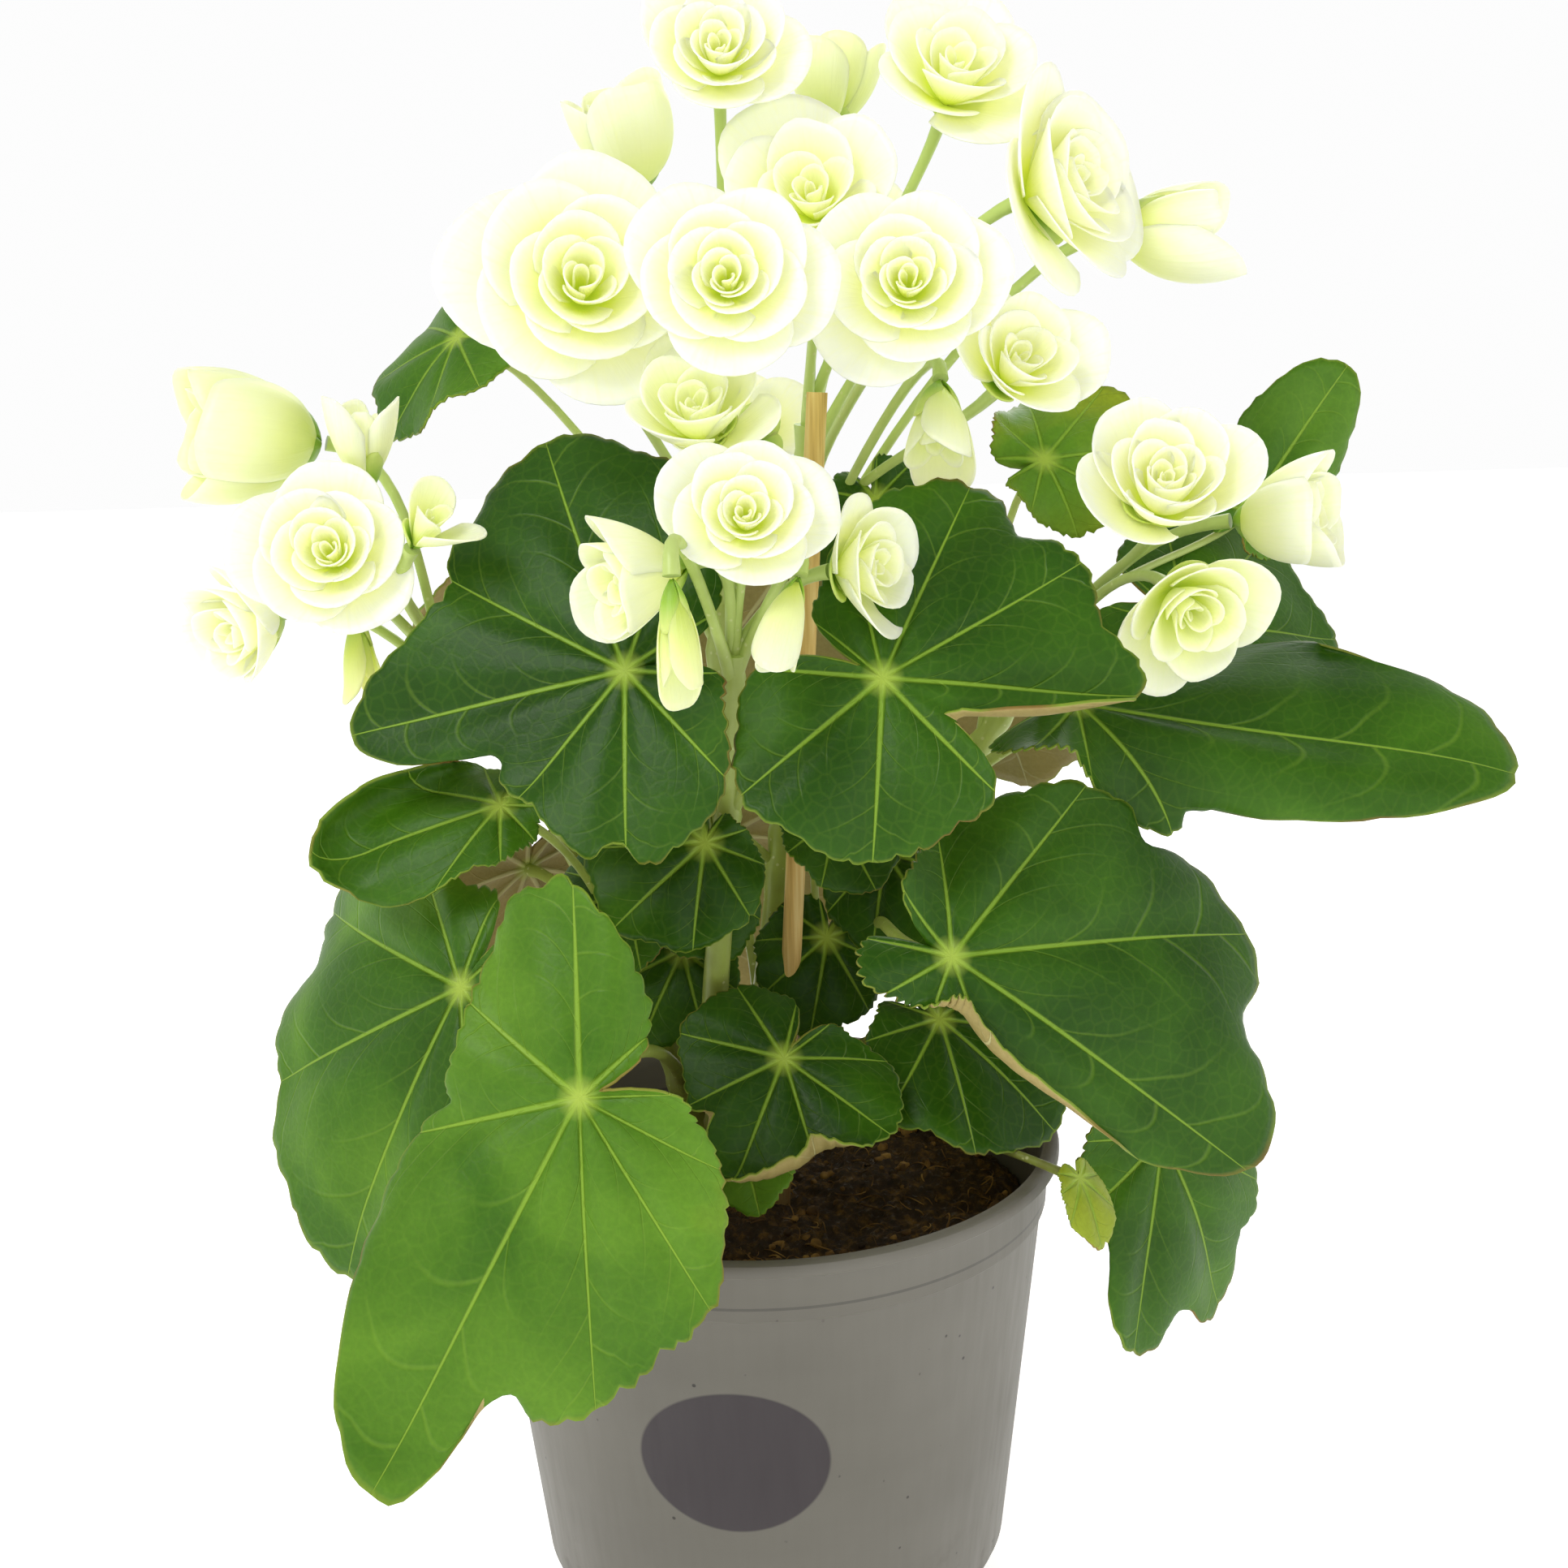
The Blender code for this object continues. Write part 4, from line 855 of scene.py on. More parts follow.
def leaf_skin(name, greens, vein, rise, roughness):
    """A leaf's skin. rise: how proud the veins stand, in mm; below 0 they are sunk."""
    made, tree, shader = new_material(name)
    out, out_cm, main, branch, net = vein_masks(tree)
    whole = add(tree, "TexCoord").outputs["Object"]
    # Broad patches of darker and lighter green, as light and age leave them.
    patches = add(tree, "TexNoise", {"Vector": whole, "Scale": 30.0, "Detail": 3.0,
                                     "Distortion": 0.6})
    # A value for each leaf that holds its own green and, for leaves in shade, painted shade.
    tone_and_shade = add(tree, "Attribute", attribute_name="tone_and_shade").outputs["Fac"]
    level = maths(tree, "MULTIPLY_ADD", patches, 0.7, tone_and_shade)
    level = maths(tree, "SUBTRACT", level, 0.38)
    # The middle of a blade is a little darker than its outer half.
    level = maths(tree, "MULTIPLY_ADD", out, 0.12, level)
    blade = add(tree, "ValToRGB", {0: level}, stops=greens)
    # Cells of the skin: a fine grain that breaks up the green.
    cells = add(tree, "TexNoise", {"Vector": whole, "Scale": 1100.0, "Detail": 2.0})
    grain = ramp(tree, cells, 0.3, 0.7, 0.93, 1.06)
    blade = cover(tree, 1.0, blade, grain, blend_type="MULTIPLY")
    for mask, share in ((net, 0.04), (branch, 0.2), (main, 0.72)):
        fade = maths(tree, "MULTIPLY", mask, share)
        blade = cover(tree, fade, blade, vein)
    # A light spot where the stalk joins, and a thin light rim round the blade, here and
    # there flushed with red.
    spot = ramp(tree, out_cm, 0.08, 0.42, 0.85, 0.0)
    rim = ramp(tree, out, 0.978, 1.0, 0.0, 0.6)
    flush = add(tree, "TexNoise", {"Vector": whole, "Scale": 60.0, "Detail": 1.0})
    flush = add(tree, "ValToRGB", {0: flush}, stops=((0.5, "#93a83a"), (0.68, "#9a6a3c")))
    blade = cover(tree, spot, blade, "#a9c04c")
    blade = cover(tree, rim, blade, flush)
    # Veins and the swelling between them.
    swell = maths(tree, "MULTIPLY_ADD", branch, 0.4, main)
    swell = maths(tree, "MULTIPLY_ADD", net, 0.05, swell)
    swell = maths(tree, "MULTIPLY", swell, rise)
    swell = maths(tree, "MULTIPLY_ADD", cells, 0.09, swell)
    emboss(tree, shader, swell, 1.0, 0.6)
    plug(tree, blade, shader, "Base Color")
    shade = ramp(tree, patches, 0.0, 1.0, roughness - 0.08, roughness + 0.12)
    plug(tree, shade, shader, "Roughness")
    shader.inputs["Specular IOR Level"].default_value = 0.2
    return made


leaf_top = leaf_skin("begonia_leaf_upper_skin", (
    (0.0, "#132c02"), (0.3, "#244a03"), (0.55, "#3c680c"), (0.8, "#5f8a20"),
    (1.0, "#93a428")), "#8cb038", -0.5, 0.38)
leaf_under = leaf_skin("begonia_leaf_lower_skin", (
    (0.0, "#77733a"), (0.5, "#a3925a"), (1.0, "#b9ab72")), "#c2bd84", 0.5, 0.5)

# %% Blank discs with spokes and rings
BLANKS = {"large": (240, 22), "back": (150, 13), "small": (135, 12)}
BLEND = 0.85                # rings sit closer together towards the margin
blanks = {}
for size, (spokes, rings) in BLANKS.items():
    bpy.ops.mesh.primitive_grid_add(x_subdivisions=spokes, y_subdivisions=rings, size=2)
    blank = bpy.context.object
    blank.data.uv_layers[0].name = "fan"
    spots = places(blank)
    turn, out = (spots[:, 0] + 1) * pi, (spots[:, 1] + 1) / 2
    move_to(blank, np.column_stack((out * np.cos(turn), out * np.sin(turn), 0 * out)))
    bpy.ops.object.mode_set(mode="EDIT")
    bpy.ops.mesh.select_all(action="SELECT")
    bpy.ops.mesh.remove_doubles(threshold=1e-5)
    bpy.ops.mesh.flip_normals()
    bpy.ops.object.mode_set(mode="OBJECT")
    blank.data.materials.append(leaf_top)
    blank.data.materials.append(leaf_under)
    blanks[size] = blank
    print(size, "blank:", len(blank.data.polygons), "faces")

# %% [markdown]
# ## Shape each blade
# On a bench a sheet would be cut and pressed over a form. Here the disc's margin is pulled
# out to the leaf's own outline, teeth are cut into it, and the whole sheet is bent: it
# droops to the tip, falls to both sides like a roof, swells between the veins and waves at
# its margin. A few leaves also roll their margin over, so that the tan underside shows.

# %% The look of single leaves
TEETH = 6                   # teeth for each main vein
NOTCH_DEPTH = 0.72          # share of the reach that the notch takes away
NOTCH_HALF = 13.0           # half its width, in degrees
ROLL_START = 0.66           # share of the way out where a margin starts to roll
# Each leaf's place on the green ramp is partly its own green and partly painted shade: leaves that
# lie in the shade of others are given darker values.
PLAIN_TONE_AND_SHADE = 0.34           # light or dark green of a leaf that TONE_AND_SHADE doesn't name
TONE_AND_SHADE = {
    "leaf_front_left": 0.62, "leaf_outer_left": 0.56, "leaf_upper_left": 0.26,
    "leaf_centre": 0.34, "leaf_lower_right": 0.36, "leaf_low_centre": 0.26,
    "leaf_far_right": 0.4, "leaf_behind_right": 0.44, "leaf_upper_right": 0.84,
    "leaf_high_left": 0.56, "leaf_low_right": 0.48, "leaf_rim": 0.95,
    "leaf_soil_front": 0.6, "leaf_far_top": 0.58, "leaf_middle_left": 0.44,
    "leaf_soil_right": 0.3, "leaf_inner_left": 0.3, "leaf_inner_right": 0.22,
}
# Deep clefts in a margin: (direction, depth in mm, half the width in degrees).
CLEFTS = {
    "leaf_front_left": ((12, 18, 4.5), (222, 3, 5), (300, 4, 5)),
    "leaf_lower_right": ((24, 4, 6), (62, 4, 5)),
    "leaf_upper_left": ((20, 7, 7), (80, 5, 6), (325, 5, 8)),
    "leaf_centre": ((330, 6, 6), (50, 4, 6), (100, 3, 6)),
    "leaf_far_right": ((24, 9, 7), (330, 8, 7), (60, 4, 8)),
    "leaf_outer_left": ((320, 4, 7), (290, 4, 6), (30, 4, 7)),
    "leaf_low_right": ((20, 9, 8), (335, 8, 7), (60, 4, 8)),
    "leaf_low_centre": ((330, 5, 8), (40, 4, 8)),
    "leaf_behind_right": ((25, 6, 8), (335, 5, 8)),
}
# Rolled margins: (direction, half the width in degrees, how far it rolls in degrees).
# Directions run from the tip, in degrees, as in the table of leaves.
ROLLS = {
    "leaf_lower_right": (305, 42, 150),
    "leaf_low_centre": (25, 40, 120),
    "leaf_middle_left": (330, 50, 110),
    "leaf_centre": (345, 14, 100),
}


def turned_from(angle, middle):
    """How far angles lie from a direction, -180 to 180 degrees."""
    return np.mod(angle - middle + 180, 360) - 180


def margin_reach(leaf, angle):
    """Distance from the stalk to the margin in each direction, in mm."""
    count = len(leaf.reach)
    place = np.mod(angle, 360) / 360 * count
    low = np.floor(place).astype(int)
    reach = np.array(leaf.reach, float)
    four = [reach[(low + step) % count] for step in (-1, 0, 1, 2)]
    off = turned_from(angle, leaf.sinus)
    notch = 1 - NOTCH_DEPTH * np.exp(-(off / NOTCH_HALF) ** 2)
    return smooth_between(*four, place - low) * notch


def fan_place(leaf, turned):
    """Place among the main veins, 0 to 9, for angles counted from the notch."""
    tip = 360.0 - leaf.sinus
    return np.where(turned < tip, turned / tip * VEINS / 2,
                    VEINS / 2 + (turned - tip) / (360.0 - tip) * VEINS / 2)


def shape_leaf(name, leaf):
    blade = copy_of(blanks[leaf.size], name.replace("leaf", "blade"))
    rolls = random.Random(f"{SEED}{name}")
    offset = rolls.uniform(0, 100)
    spots = places(blade)
    out = np.minimum(np.hypot(spots[:, 0], spots[:, 1]), 1.0)
    turned = np.mod(np.degrees(np.arctan2(spots[:, 1], spots[:, 0])) + 0.01, 360) - 0.01
    angle = turned + leaf.sinus
    fan = fan_place(leaf, np.clip(turned, 0, 360))
    reach = margin_reach(leaf, angle)
    # Low lobes at the vein tips, low scallops on them and small uneven teeth.
    count = VEINS * TEETH
    deep = np.array([rolls.uniform(0.35, 1.3) for _ in range(count + 1)])
    shift = np.array([rolls.uniform(-0.25, 0.25) for _ in range(count + 1)])
    number = np.clip(np.floor(fan * TEETH).astype(int), 0, count)
    inside = fan * TEETH - number
    point = 0.5 + shift[number]
    lean = np.where(inside < point, (point - inside) / point, (inside - point) / (1 - point))
    tooth_depth = 0.012 * max(leaf.reach) + 0.4
    cut = tooth_depth * deep[number] * np.abs(lean) ** 1.3
    lobe = 0.5 - 0.5 * np.cos(tau * fan)
    scallop = np.abs(np.sin(pi * (fan * 2 + 0.3 * np.sin(fan * 2.3 + offset))))
    cut = cut + reach * (0.045 * (1 - lobe) + 0.022 * (1 - scallop))
    for middle, depth, half in CLEFTS.get(name, ()):
        off = turned_from(angle, middle)
        cut = cut + depth * np.exp(-(off / half) ** 2)
    margin = np.clip((out - 0.6) / 0.4, 0, 1) ** 2
    length = out ** BLEND * (reach - cut * margin)
    along = length * np.cos(np.radians(angle))
    across = length * np.sin(np.radians(angle))
    quarter = len(leaf.reach) // 4
    width = (leaf.reach[quarter] + leaf.reach[-quarter]) / 2
    phase = sum(leaf.at)
    height = (-leaf.droop * (along / leaf.reach[0]) ** 2 - leaf.roof * (across / width) ** 2
              + leaf.wave * out ** 2 * np.sin(np.radians(leaf.waves * angle) + phase))
    # The green swells between the veins, and the margin ripples.
    vein_gap = np.abs(np.mod(fan, 1) - 0.5)
    swell = 1 - np.exp(-(vein_gap / 0.2) ** 2)
    height += 0.03 * reach * swell * (out * (1.15 - out) * 3.2) ** 0.8
    ripple = np.array([noise.noise(Vector((f * 1.1, o * 1.3, offset))) for f, o in zip(fan, out)])
    height += ripple * out ** 2 * 0.075 * reach
    height += np.sin(tau * fan + offset) * out ** 5 * 0.012 * reach
    if name in ROLLS:
        middle, half, roll = ROLLS[name]
        off = turned_from(angle, middle)
        here = np.clip(1 - (off / half) ** 2, 0, 1) ** 0.7
        beyond = np.clip((out - ROLL_START) / (1 - ROLL_START), 0, 1)
        turn = np.radians(roll) * here * beyond + 1e-6
        plain = beyond * reach * (1 - ROLL_START ** BLEND)
        strip = plain * (1 + 0.35 * here)
        outward = strip * np.sin(turn) / turn - plain
        height += strip * (1 - np.cos(turn)) / turn
        along += outward * np.cos(np.radians(angle)) * (here > 0)
        across += outward * np.sin(np.radians(angle)) * (here > 0)
    tip, face = unit(leaf.tip), unit(leaf.face)
    tip = (tip - face * tip.dot(face)).normalized()
    frame_of = np.array([tip, face.cross(tip), face])
    moved = np.column_stack((along, across, height)) @ frame_of + np.array(leaf.at)
    move_to(blade, moved * MM)
    corners = np.empty(len(blade.data.loops), int)
    blade.data.loops.foreach_get("vertex_index", corners)
    round_map = blade.data.uv_layers["fan"].data
    uv = np.empty(len(corners) * 2)
    round_map.foreach_get("uv", uv)
    uv = uv.reshape(-1, 2)
    uv[:, 0] = fan_place(leaf, uv[:, 0] * 360) / VEINS
    round_map.foreach_set("uv", uv.reshape(-1))
    flat = blade.data.uv_layers.new(name="flat")
    across_cm = np.column_stack((length * np.cos(np.radians(angle)),
                                 length * np.sin(np.radians(angle))))[corners] / 10
    flat.data.foreach_set("uv", across_cm.reshape(-1))
    # Each leaf's value for its skin: its own green together with painted shade.
    tone_and_shade = blade.data.attributes.new("tone_and_shade", "FLOAT", "POINT")
    tone_and_shade.data.foreach_set("value", np.full(len(out), TONE_AND_SHADE.get(name, PLAIN_TONE_AND_SHADE), np.float32))
    return blade


# %% Grow the leaves
LEAF_THICKNESS = 0.5
leaf_faces = 0
for name, leaf in (*LEAVES.items(), *SHADE_LEAVES.items()):
    blade = shape_leaf(name, leaf)
    thicken(blade, LEAF_THICKNESS, back_slot=1)
    hand_over(blade, "leaf", *([name] if name in LEAVES else []))
    leaf_faces += len(blade.data.polygons)
for blank in blanks.values():
    bpy.data.objects.remove(blank)
print(len(LEAVES) + len(SHADE_LEAVES), "leaves:", leaf_faces, "faces")

# %% [markdown]
# ## The flowers
# A double begonia flower is built like a rose: a few broad petals outside and many narrower
# ones wrapped round a yellow-green heart. Every petal is a thin cupped sheet, narrow at its
# root, with a rounded end that rolls outwards. One sheet for the outer petals and one for
# the inner ones are modelled once. Each copy is then laid on a bowl, the curve that opens
# from upright to flat, turned by the golden angle of 137.5 degrees as real petals are.

# %% Petal material
petal_skin, tree, shader = new_material("begonia_petal_skin")
place = add(tree, "SeparateXYZ", {0: add(tree, "UVMap", uv_map="petal")})
whole = add(tree, "TexCoord").outputs["Object"]
depth = add(tree, "Attribute", attribute_name="depth").outputs["Fac"]
fresh = add(tree, "Attribute", attribute_name="fresh").outputs["Fac"]
cloud = add(tree, "TexNoise", {"Vector": whole, "Scale": 120.0, "Detail": 3.0})
# From the yellow-green root to the white margin; the heart stays yellow longer.
way = maths(tree, "MULTIPLY_ADD", depth, -0.42, place.outputs["Y"])
way = maths(tree, "MULTIPLY_ADD", cloud, 0.16, way)
petal = add(tree, "ValToRGB", {0: way}, stops=(
    (0.02, "#dcec4a"), (0.22, "#e8f26a"), (0.42, "#f1f6ae"), (0.64, "#f5f7c8"),
    (0.9, "#f3f5dc")))
# Young buds are greener.
bud = add(tree, "ValToRGB", {0: way}, stops=((0.1, "#93b732"), (0.55, "#cfdf6a"), (1.0, "#e8f0a0")))
petal = cover(tree, fresh, petal, bud)
# Fine veins run lengthwise.
threads = add(tree, "CombineXYZ", {"X": place.outputs["X"], "Y": place.outputs["Y"], "Z": depth})
threads = add(tree, "Mapping", {"Vector": threads, "Scale": (34.0, 1.6, 9.0)})
threads = add(tree, "TexNoise", {"Vector": threads, "Scale": 1.0, "Detail": 2.0})
vein = ramp(tree, threads, 0.52, 0.68, 0.0, 0.12)
petal = cover(tree, vein, petal, "#dfe59a")
plug(tree, petal, shader, "Base Color")
# Painted glow: the petals give off a little of their own colour, which lightens them and keeps the
# yellow-green heart bright.
plug(tree, petal, shader, "Emission Color")
shader.inputs["Emission Strength"].default_value = 0.13
emboss(tree, shader, threads, 0.25, 0.5)
shader.inputs["Roughness"].default_value = 0.42
# Petals are wet and thin, so light spreads inside them.
shader.inputs["Subsurface Weight"].default_value = 0.7
shader.inputs["Subsurface Radius"].default_value = (1.0, 0.95, 0.55)
shader.inputs["Subsurface Scale"].default_value = 1.6 * MM
shader.inputs["Sheen Weight"].default_value = 0.08

# %% Petal blanks
PETAL_BLANKS = {"outer": (20, 14), "inner": (14, 10)}
petals = {}
for kind, (wide, tall) in PETAL_BLANKS.items():
    bpy.ops.mesh.primitive_grid_add(x_subdivisions=wide, y_subdivisions=tall, size=2)
    blank = bpy.context.object
    blank.data.uv_layers[0].name = "petal"
    blank.data.materials.append(petal_skin)
    petals[kind] = blank
    print(kind, "petal:", len(blank.data.polygons), "faces")

# %% [markdown]
# ## Lay petals on a bowl
# Seen from the side a petal is a bent line: it leaves the root at one angle, ends at
# another, and its last part rolls outwards. Adding up small steps along that line gives how
# far out and how high each point of the petal is. Spread round the flower's axis, the line
# becomes a cupped petal.

# %% Petal shape
PETAL_COUNT = {6: 19, 5: 14, 4: 9, 3: 6}     # fine petals for each CAD petal count
OUTER_SHARE = 0.28          # share of the petals that are broad outer ones
GOLDEN_TURN = 137.5
FRESH = {
    "bloom_top_left": 0.35, "bloom_back_top": 0.5, "bud_far_right": 0.15,
    "bloom_far_left": 0.5, "bud_far_left": 0.22, "bud_left_low": 0.95,
    "bud_left_inner": 0.4, "bud_front_left": 0.75, "bud_front_right": 0.4,
    "bloom_front_left": 0.3, "bloom_right_hanging": 0.3, "bud_right_hanging": 0.4,
    "bloom_front_right": 0.2, "bloom_middle_low": 0.2, "bloom_far_right": 0.15,
}
# Where the first and largest petal of a flower lies, for flowers seen from the side.
FIRST_PETAL = {
    "bloom_far_left": (0.15, -1, 0.1), "bud_far_right": (0, -0.5, -0.9),
    "bloom_far_right": (0, -1, 0), "bloom_top_left": (0.2, -1, 0),
    "bloom_front_left": (-0.3, -0.6, 0.8), "bloom_right_side": (-0.2, -1, -0.4),
}
# Slopes from the axis at the root and at the tip of the outer petals, for closed flowers.
BOWL = {
    "bloom_far_left": (84, -18), "bud_far_right": (66, -16), "bloom_top_left": (76, -8),
    "bloom_far_right": (74, 2), "bloom_back_top": (70, -4),
}
# Flowers that stand free enough to open wider than their solids, as a share.
WIDER = {
    "bloom_top_right": 1.18, "bloom_inner": 1.25, "bloom_right_side": 1.15,
    "bloom_right_low": 1.15, "bloom_middle_low": 1.2, "bloom_right_cluster": 1.12,
    "bloom_front": 1.06, "bloom_left_cluster": 1.05, "bloom_top_left": 1.1,
    "bloom_back_top": 1.12, "bloom_right_hanging": 1.08, "bud_right_hanging": 1.1,
}
steps = np.linspace(0, 1, 65)


def bent_line(way, start, finish, lip):
    """How far out and how high a petal is at each share of its length, for length 1."""
    rolled = np.clip((steps - 0.66) / 0.34, 0, 1) ** 1.6
    lean = np.radians(start + (finish - start) * steps)
    lines = []
    for trig in (np.sin, np.cos):
        heading = trig(lean[None, :] + np.radians(lip)[:, None] * rolled[None, :])
        middle = (heading[:, 1:] + heading[:, :-1]) / 2 / (len(steps) - 1)
        summed = np.concatenate((np.zeros((len(way), 1)), np.cumsum(middle, axis=1)), axis=1)
        place = way * (len(steps) - 1)
        low = np.minimum(place.astype(int), len(steps) - 2)
        rows = np.arange(len(way))
        share = place - low
        lines.append(summed[rows, low] * (1 - share) + summed[rows, low + 1] * share)
    return lines


def lay_petal(bloom, slopes, piece, middle, inward, length, chance):
    """Bends a blank into one petal of a bloom; inward is 0 outside and 1 in the heart."""
    spots = places(piece)
    side, way = spots[:, 0], 0.04 + 0.96 * (spots[:, 1] + 1) / 2
    start = slopes[0] + (0.2 * bloom.opening - slopes[0]) * inward
    finish = slopes[1] + (0.12 * bloom.opening - 14 - slopes[1]) * inward
    # A petal reaches 62 degrees to each side, and further where it wraps the heart. Seen
    # flat it is round: a circle through the root is a cosine in these directions.
    spread = 62 + 26 * inward
    outline = np.cos(np.radians(side * 64)) ** (0.62 - 0.3 * inward)
    notch = 1 - 0.035 * np.exp(-(side / 0.25) ** 2) * chance.uniform(0, 1)
    uneven = chance.uniform(0, 50)
    edge = np.array([noise.noise(Vector((s * 2.0, uneven, 0))) for s in side])
    size = length * outline * notch * (1 + 0.045 * edge)
    lip = (9 + 24 * chance.random() ** 2) * (1 - 0.5 * inward) * (0.6 + 0.4 * np.cos(side * 1.3))
    if bloom.cup > 50:
        lip = lip * 0.3
    out, up = bent_line(way, start, finish, lip)
    ruffle = np.sin(side * 2.6 + uneven) * way ** 3 * 0.035 * length
    # One side of a petal tucks under its neighbour, the other lies over the next.
    out = out * size * (1 + (0.08 + 0.1 * inward) * side)
    up = up * size + ruffle * (1 - 0.6 * inward)
    narrow = 0.66 + 0.34 * np.clip(way / 0.4, 0, 1) ** 0.8
    around = radians(middle) + np.radians(side * spread * narrow)
    level = np.column_stack((out * np.cos(around), out * np.sin(around), up))
    turn = np.array(unit(bloom.face).to_track_quat("Z", "Y").to_matrix())
    move_to(piece, (level @ turn.T + np.array(bloom.at)) * MM)
    marks = piece.data.attributes.new("depth", "FLOAT", "POINT")
    marks.data.foreach_set("value", np.full(len(way), inward, np.float32))
    return piece


def first_direction(name, bloom):
    """Direction of the first petal round the flower's axis, in degrees."""
    if name not in FIRST_PETAL:
        return bloom.at[0] * 7
    turn = unit(bloom.face).to_track_quat("Z", "Y")
    flat = turn.inverted() @ Vector(FIRST_PETAL[name])
    return degrees(atan2(flat.y, flat.x))


# %% Open the flowers
PETAL_THICKNESS = 0.3
SCALE_THICKNESS = 0.4
bloom_faces = 0
scales = []
for name, bloom in BLOOMS.items():
    chance = random.Random(f"{SEED}{name}")
    count = PETAL_COUNT[bloom.petals]
    first = first_direction(name, bloom)
    slopes = BOWL.get(name, (0.86 * bloom.opening, 1.12 * bloom.opening - bloom.cup))
    layers = []
    for number in range(count):
        inward = (number / (count - 1)) ** 0.85
        kind = "outer" if number < count * OUTER_SHARE else "inner"
        piece = copy_of(petals[kind], f"{name}_petal_{number}")
        middle = first + number * GOLDEN_TURN + chance.uniform(-10, 10) * inward
        length = bloom.radius * (1.08 - 0.5 * inward) * chance.uniform(0.95, 1.04)
        length *= 1 + (WIDER.get(name, 1) - 1) * (1 - inward)
        layers.append(lay_petal(bloom, slopes, piece, middle, inward, length, chance))
    flower = join(name.replace("bloom", "flower").replace("bud", "flower_bud"), layers)
    fresh = flower.data.attributes.new("fresh", "FLOAT", "POINT")
    share = np.full(len(flower.data.vertices), FRESH.get(name, 0.0), np.float32)
    fresh.data.foreach_set("value", share)
    thicken(flower, PETAL_THICKNESS)
    hand_over(flower, "petal", name)
    # Two or three green scales hug the back of the flower, where it grew out of the bud.
    for number in range(2 + (bloom.petals > 4)):
        scale = copy_of(petals["inner"], f"{name}_scale_{number}")
        middle = first + 75 + number * 128 + chance.uniform(-20, 20)
        length = bloom.radius * chance.uniform(0.34, 0.5) + 1.5
        root = Vector(bloom.at) - unit(bloom.face) * 0.9
        lay_petal(bloom._replace(at=tuple(root)), slopes, scale, middle, 0.0, length, chance)
        scales.append(scale)
    bloom_faces += len(flower.data.polygons)
for blank in petals.values():
    bpy.data.objects.remove(blank)
print(len(BLOOMS), "flowers:", bloom_faces, "faces")

# %% Green scales behind the flowers
scale_skin, tree, shader = new_material("begonia_scale_skin")
place = add(tree, "SeparateXYZ", {0: add(tree, "UVMap", uv_map="petal")})
whole = add(tree, "TexCoord").outputs["Object"]
mottle = add(tree, "TexNoise", {"Vector": whole, "Scale": 140.0, "Detail": 3.0})
way = maths(tree, "MULTIPLY_ADD", mottle, 0.35, place.outputs["Y"])
green = add(tree, "ValToRGB", {0: way}, stops=(
    (0.1, "#6f9a1e"), (0.6, "#97bf35"), (1.15, "#cfe07a")))
plug(tree, green, shader, "Base Color")
shader.inputs["Roughness"].default_value = 0.42
shader.inputs["Subsurface Weight"].default_value = 0.35
shader.inputs["Subsurface Radius"].default_value = (0.7, 1.0, 0.2)
shader.inputs["Subsurface Scale"].default_value = 1.2 * MM
threads = add(tree, "Mapping", {"Vector": add(tree, "UVMap", uv_map="petal"),
                                "Scale": (26.0, 1.5, 1.0)})
threads = add(tree, "TexNoise", {"Vector": threads, "Scale": 1.0, "Detail": 2.0})
emboss(tree, shader, threads, 0.2, 0.5)
scales = join("flower_scales", scales)
scales.data.materials.clear()
scales.data.materials.append(scale_skin)
thicken(scales, SCALE_THICKNESS)
hand_over(scales, "stem")
print("scales:", len(scales.data.polygons), "faces")

# %% [markdown]
# ## Light and camera
# The plant stands on a pale floor in a bright, soft room, so white petals keep their
# shape and leaves show a broad gentle shine. A big light from above and to the left does
# most of the work, a second one fills the right side, a third comes from behind, and the
# pale surroundings do the rest.

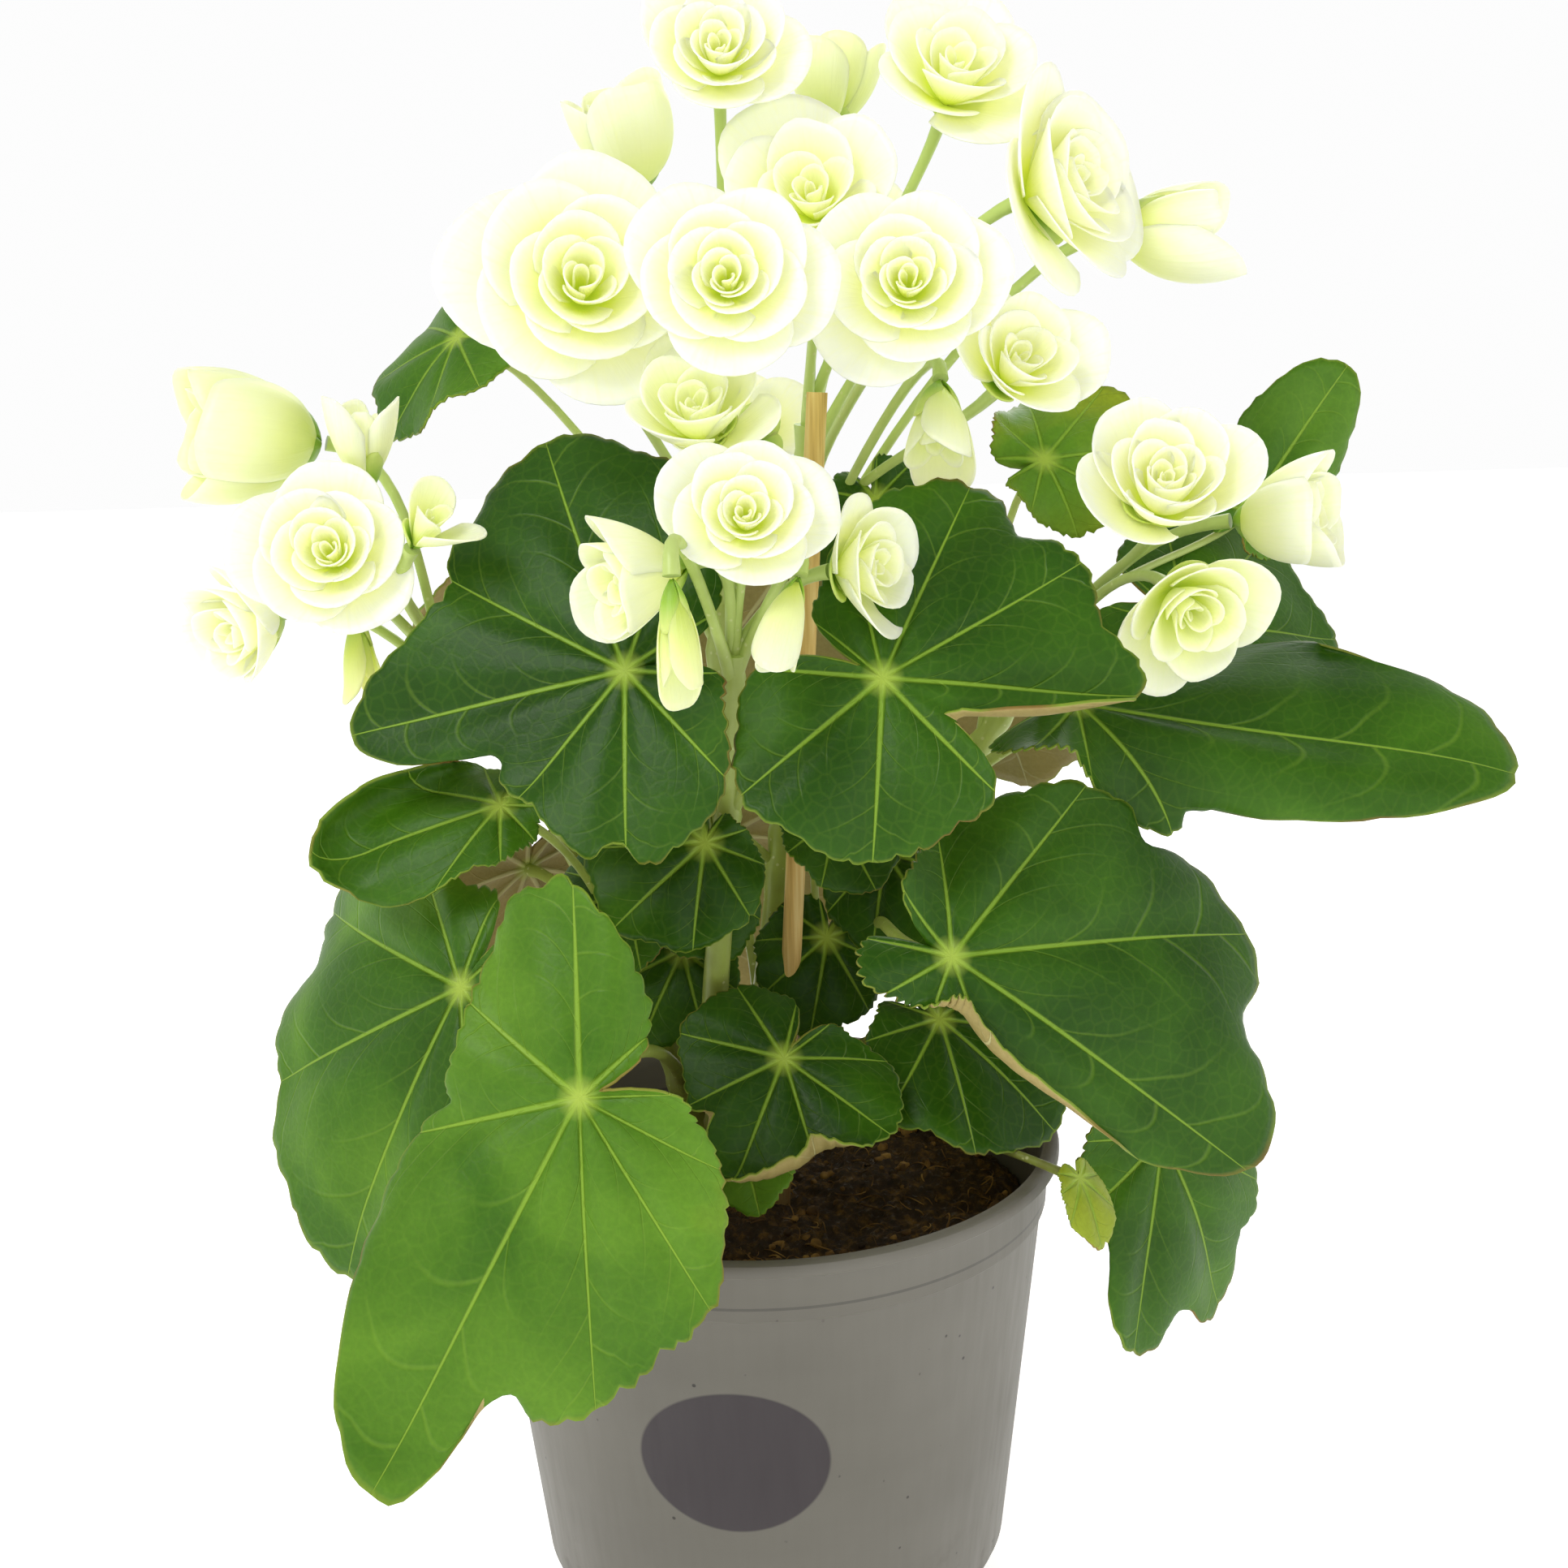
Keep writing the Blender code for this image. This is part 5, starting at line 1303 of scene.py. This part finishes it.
# %% Floor
bpy.ops.mesh.primitive_plane_add(size=6, location=(0, 1.5, 0))
floor = bpy.context.object
floor.name = "studio_floor"
paper, tree, shader = new_material("white_studio_paper")
shader.inputs["Base Color"].default_value = colour("#fbfaf8")
shader.inputs["Roughness"].default_value = 0.7
# A light table: the floor glows a little, so it stays white far from the lamps.
shader.inputs["Emission Color"].default_value = colour("#ffffff")
shader.inputs["Emission Strength"].default_value = 0.55
floor.data.materials.append(paper)

# %% Lights
# Where each light stands, where it aims, its width in m and its power in W.
LIGHTS = {
    "key": ((-0.55, -0.75, 1.05), (0, 0, 0.2), 0.6, 7.0),
    "fill": ((0.8, -0.7, 0.55), (0, 0, 0.2), 0.8, 1.2),
    "back": ((0.25, 0.9, 0.9), (0, 0, 0.25), 0.7, 4.0),
}
room = bpy.data.worlds.new("bright room")
bpy.context.scene.world = room
room.use_nodes = True
glow = room.node_tree.nodes["Background"]
glow.inputs["Color"].default_value = colour("#ffffff")
# Bright walls up to eye level under a dimmer ceiling: white behind the plant, and deep
# colour instead of a milky shine on the leaves.
rise = add(room.node_tree, "SeparateXYZ", {0: add(room.node_tree, "TexCoord")}).outputs["Z"]
walls = ramp(room.node_tree, rise, 0.2, 0.55, 0.98, 0.42)
plug(room.node_tree, walls, glow, "Strength")
for name, (place, aim, size, power) in LIGHTS.items():
    bpy.ops.object.light_add(type="AREA", location=place)
    lamp = bpy.context.object
    lamp.name = name
    lamp.data.size = size
    lamp.data.energy = power
    away = Vector(place) - Vector(aim)
    lamp.rotation_euler = away.to_track_quat("Z", "Y").to_euler()

# The plain "Standard" look shows colours as they are given, so whites come out white.
bpy.context.scene.view_settings.view_transform = "Standard"
bpy.context.scene.view_settings.look = "None"

# %% Camera
CAMERA_AT = (0.0066, -0.3905, 0.2710)
LOOK_DOWN = 12.11           # degrees below the horizon
ROLL = -1.66
bpy.ops.object.camera_add(location=CAMERA_AT)
camera = bpy.context.object
tilted = (Matrix.Rotation(radians(90 - LOOK_DOWN), 4, "X")
          @ Matrix.Rotation(radians(ROLL), 4, "Z"))
camera.rotation_euler = tilted.to_euler()
camera.data.sensor_width = 36
camera.data.lens = 42.86
camera.data.clip_start = 0.01
bpy.context.scene.camera = camera
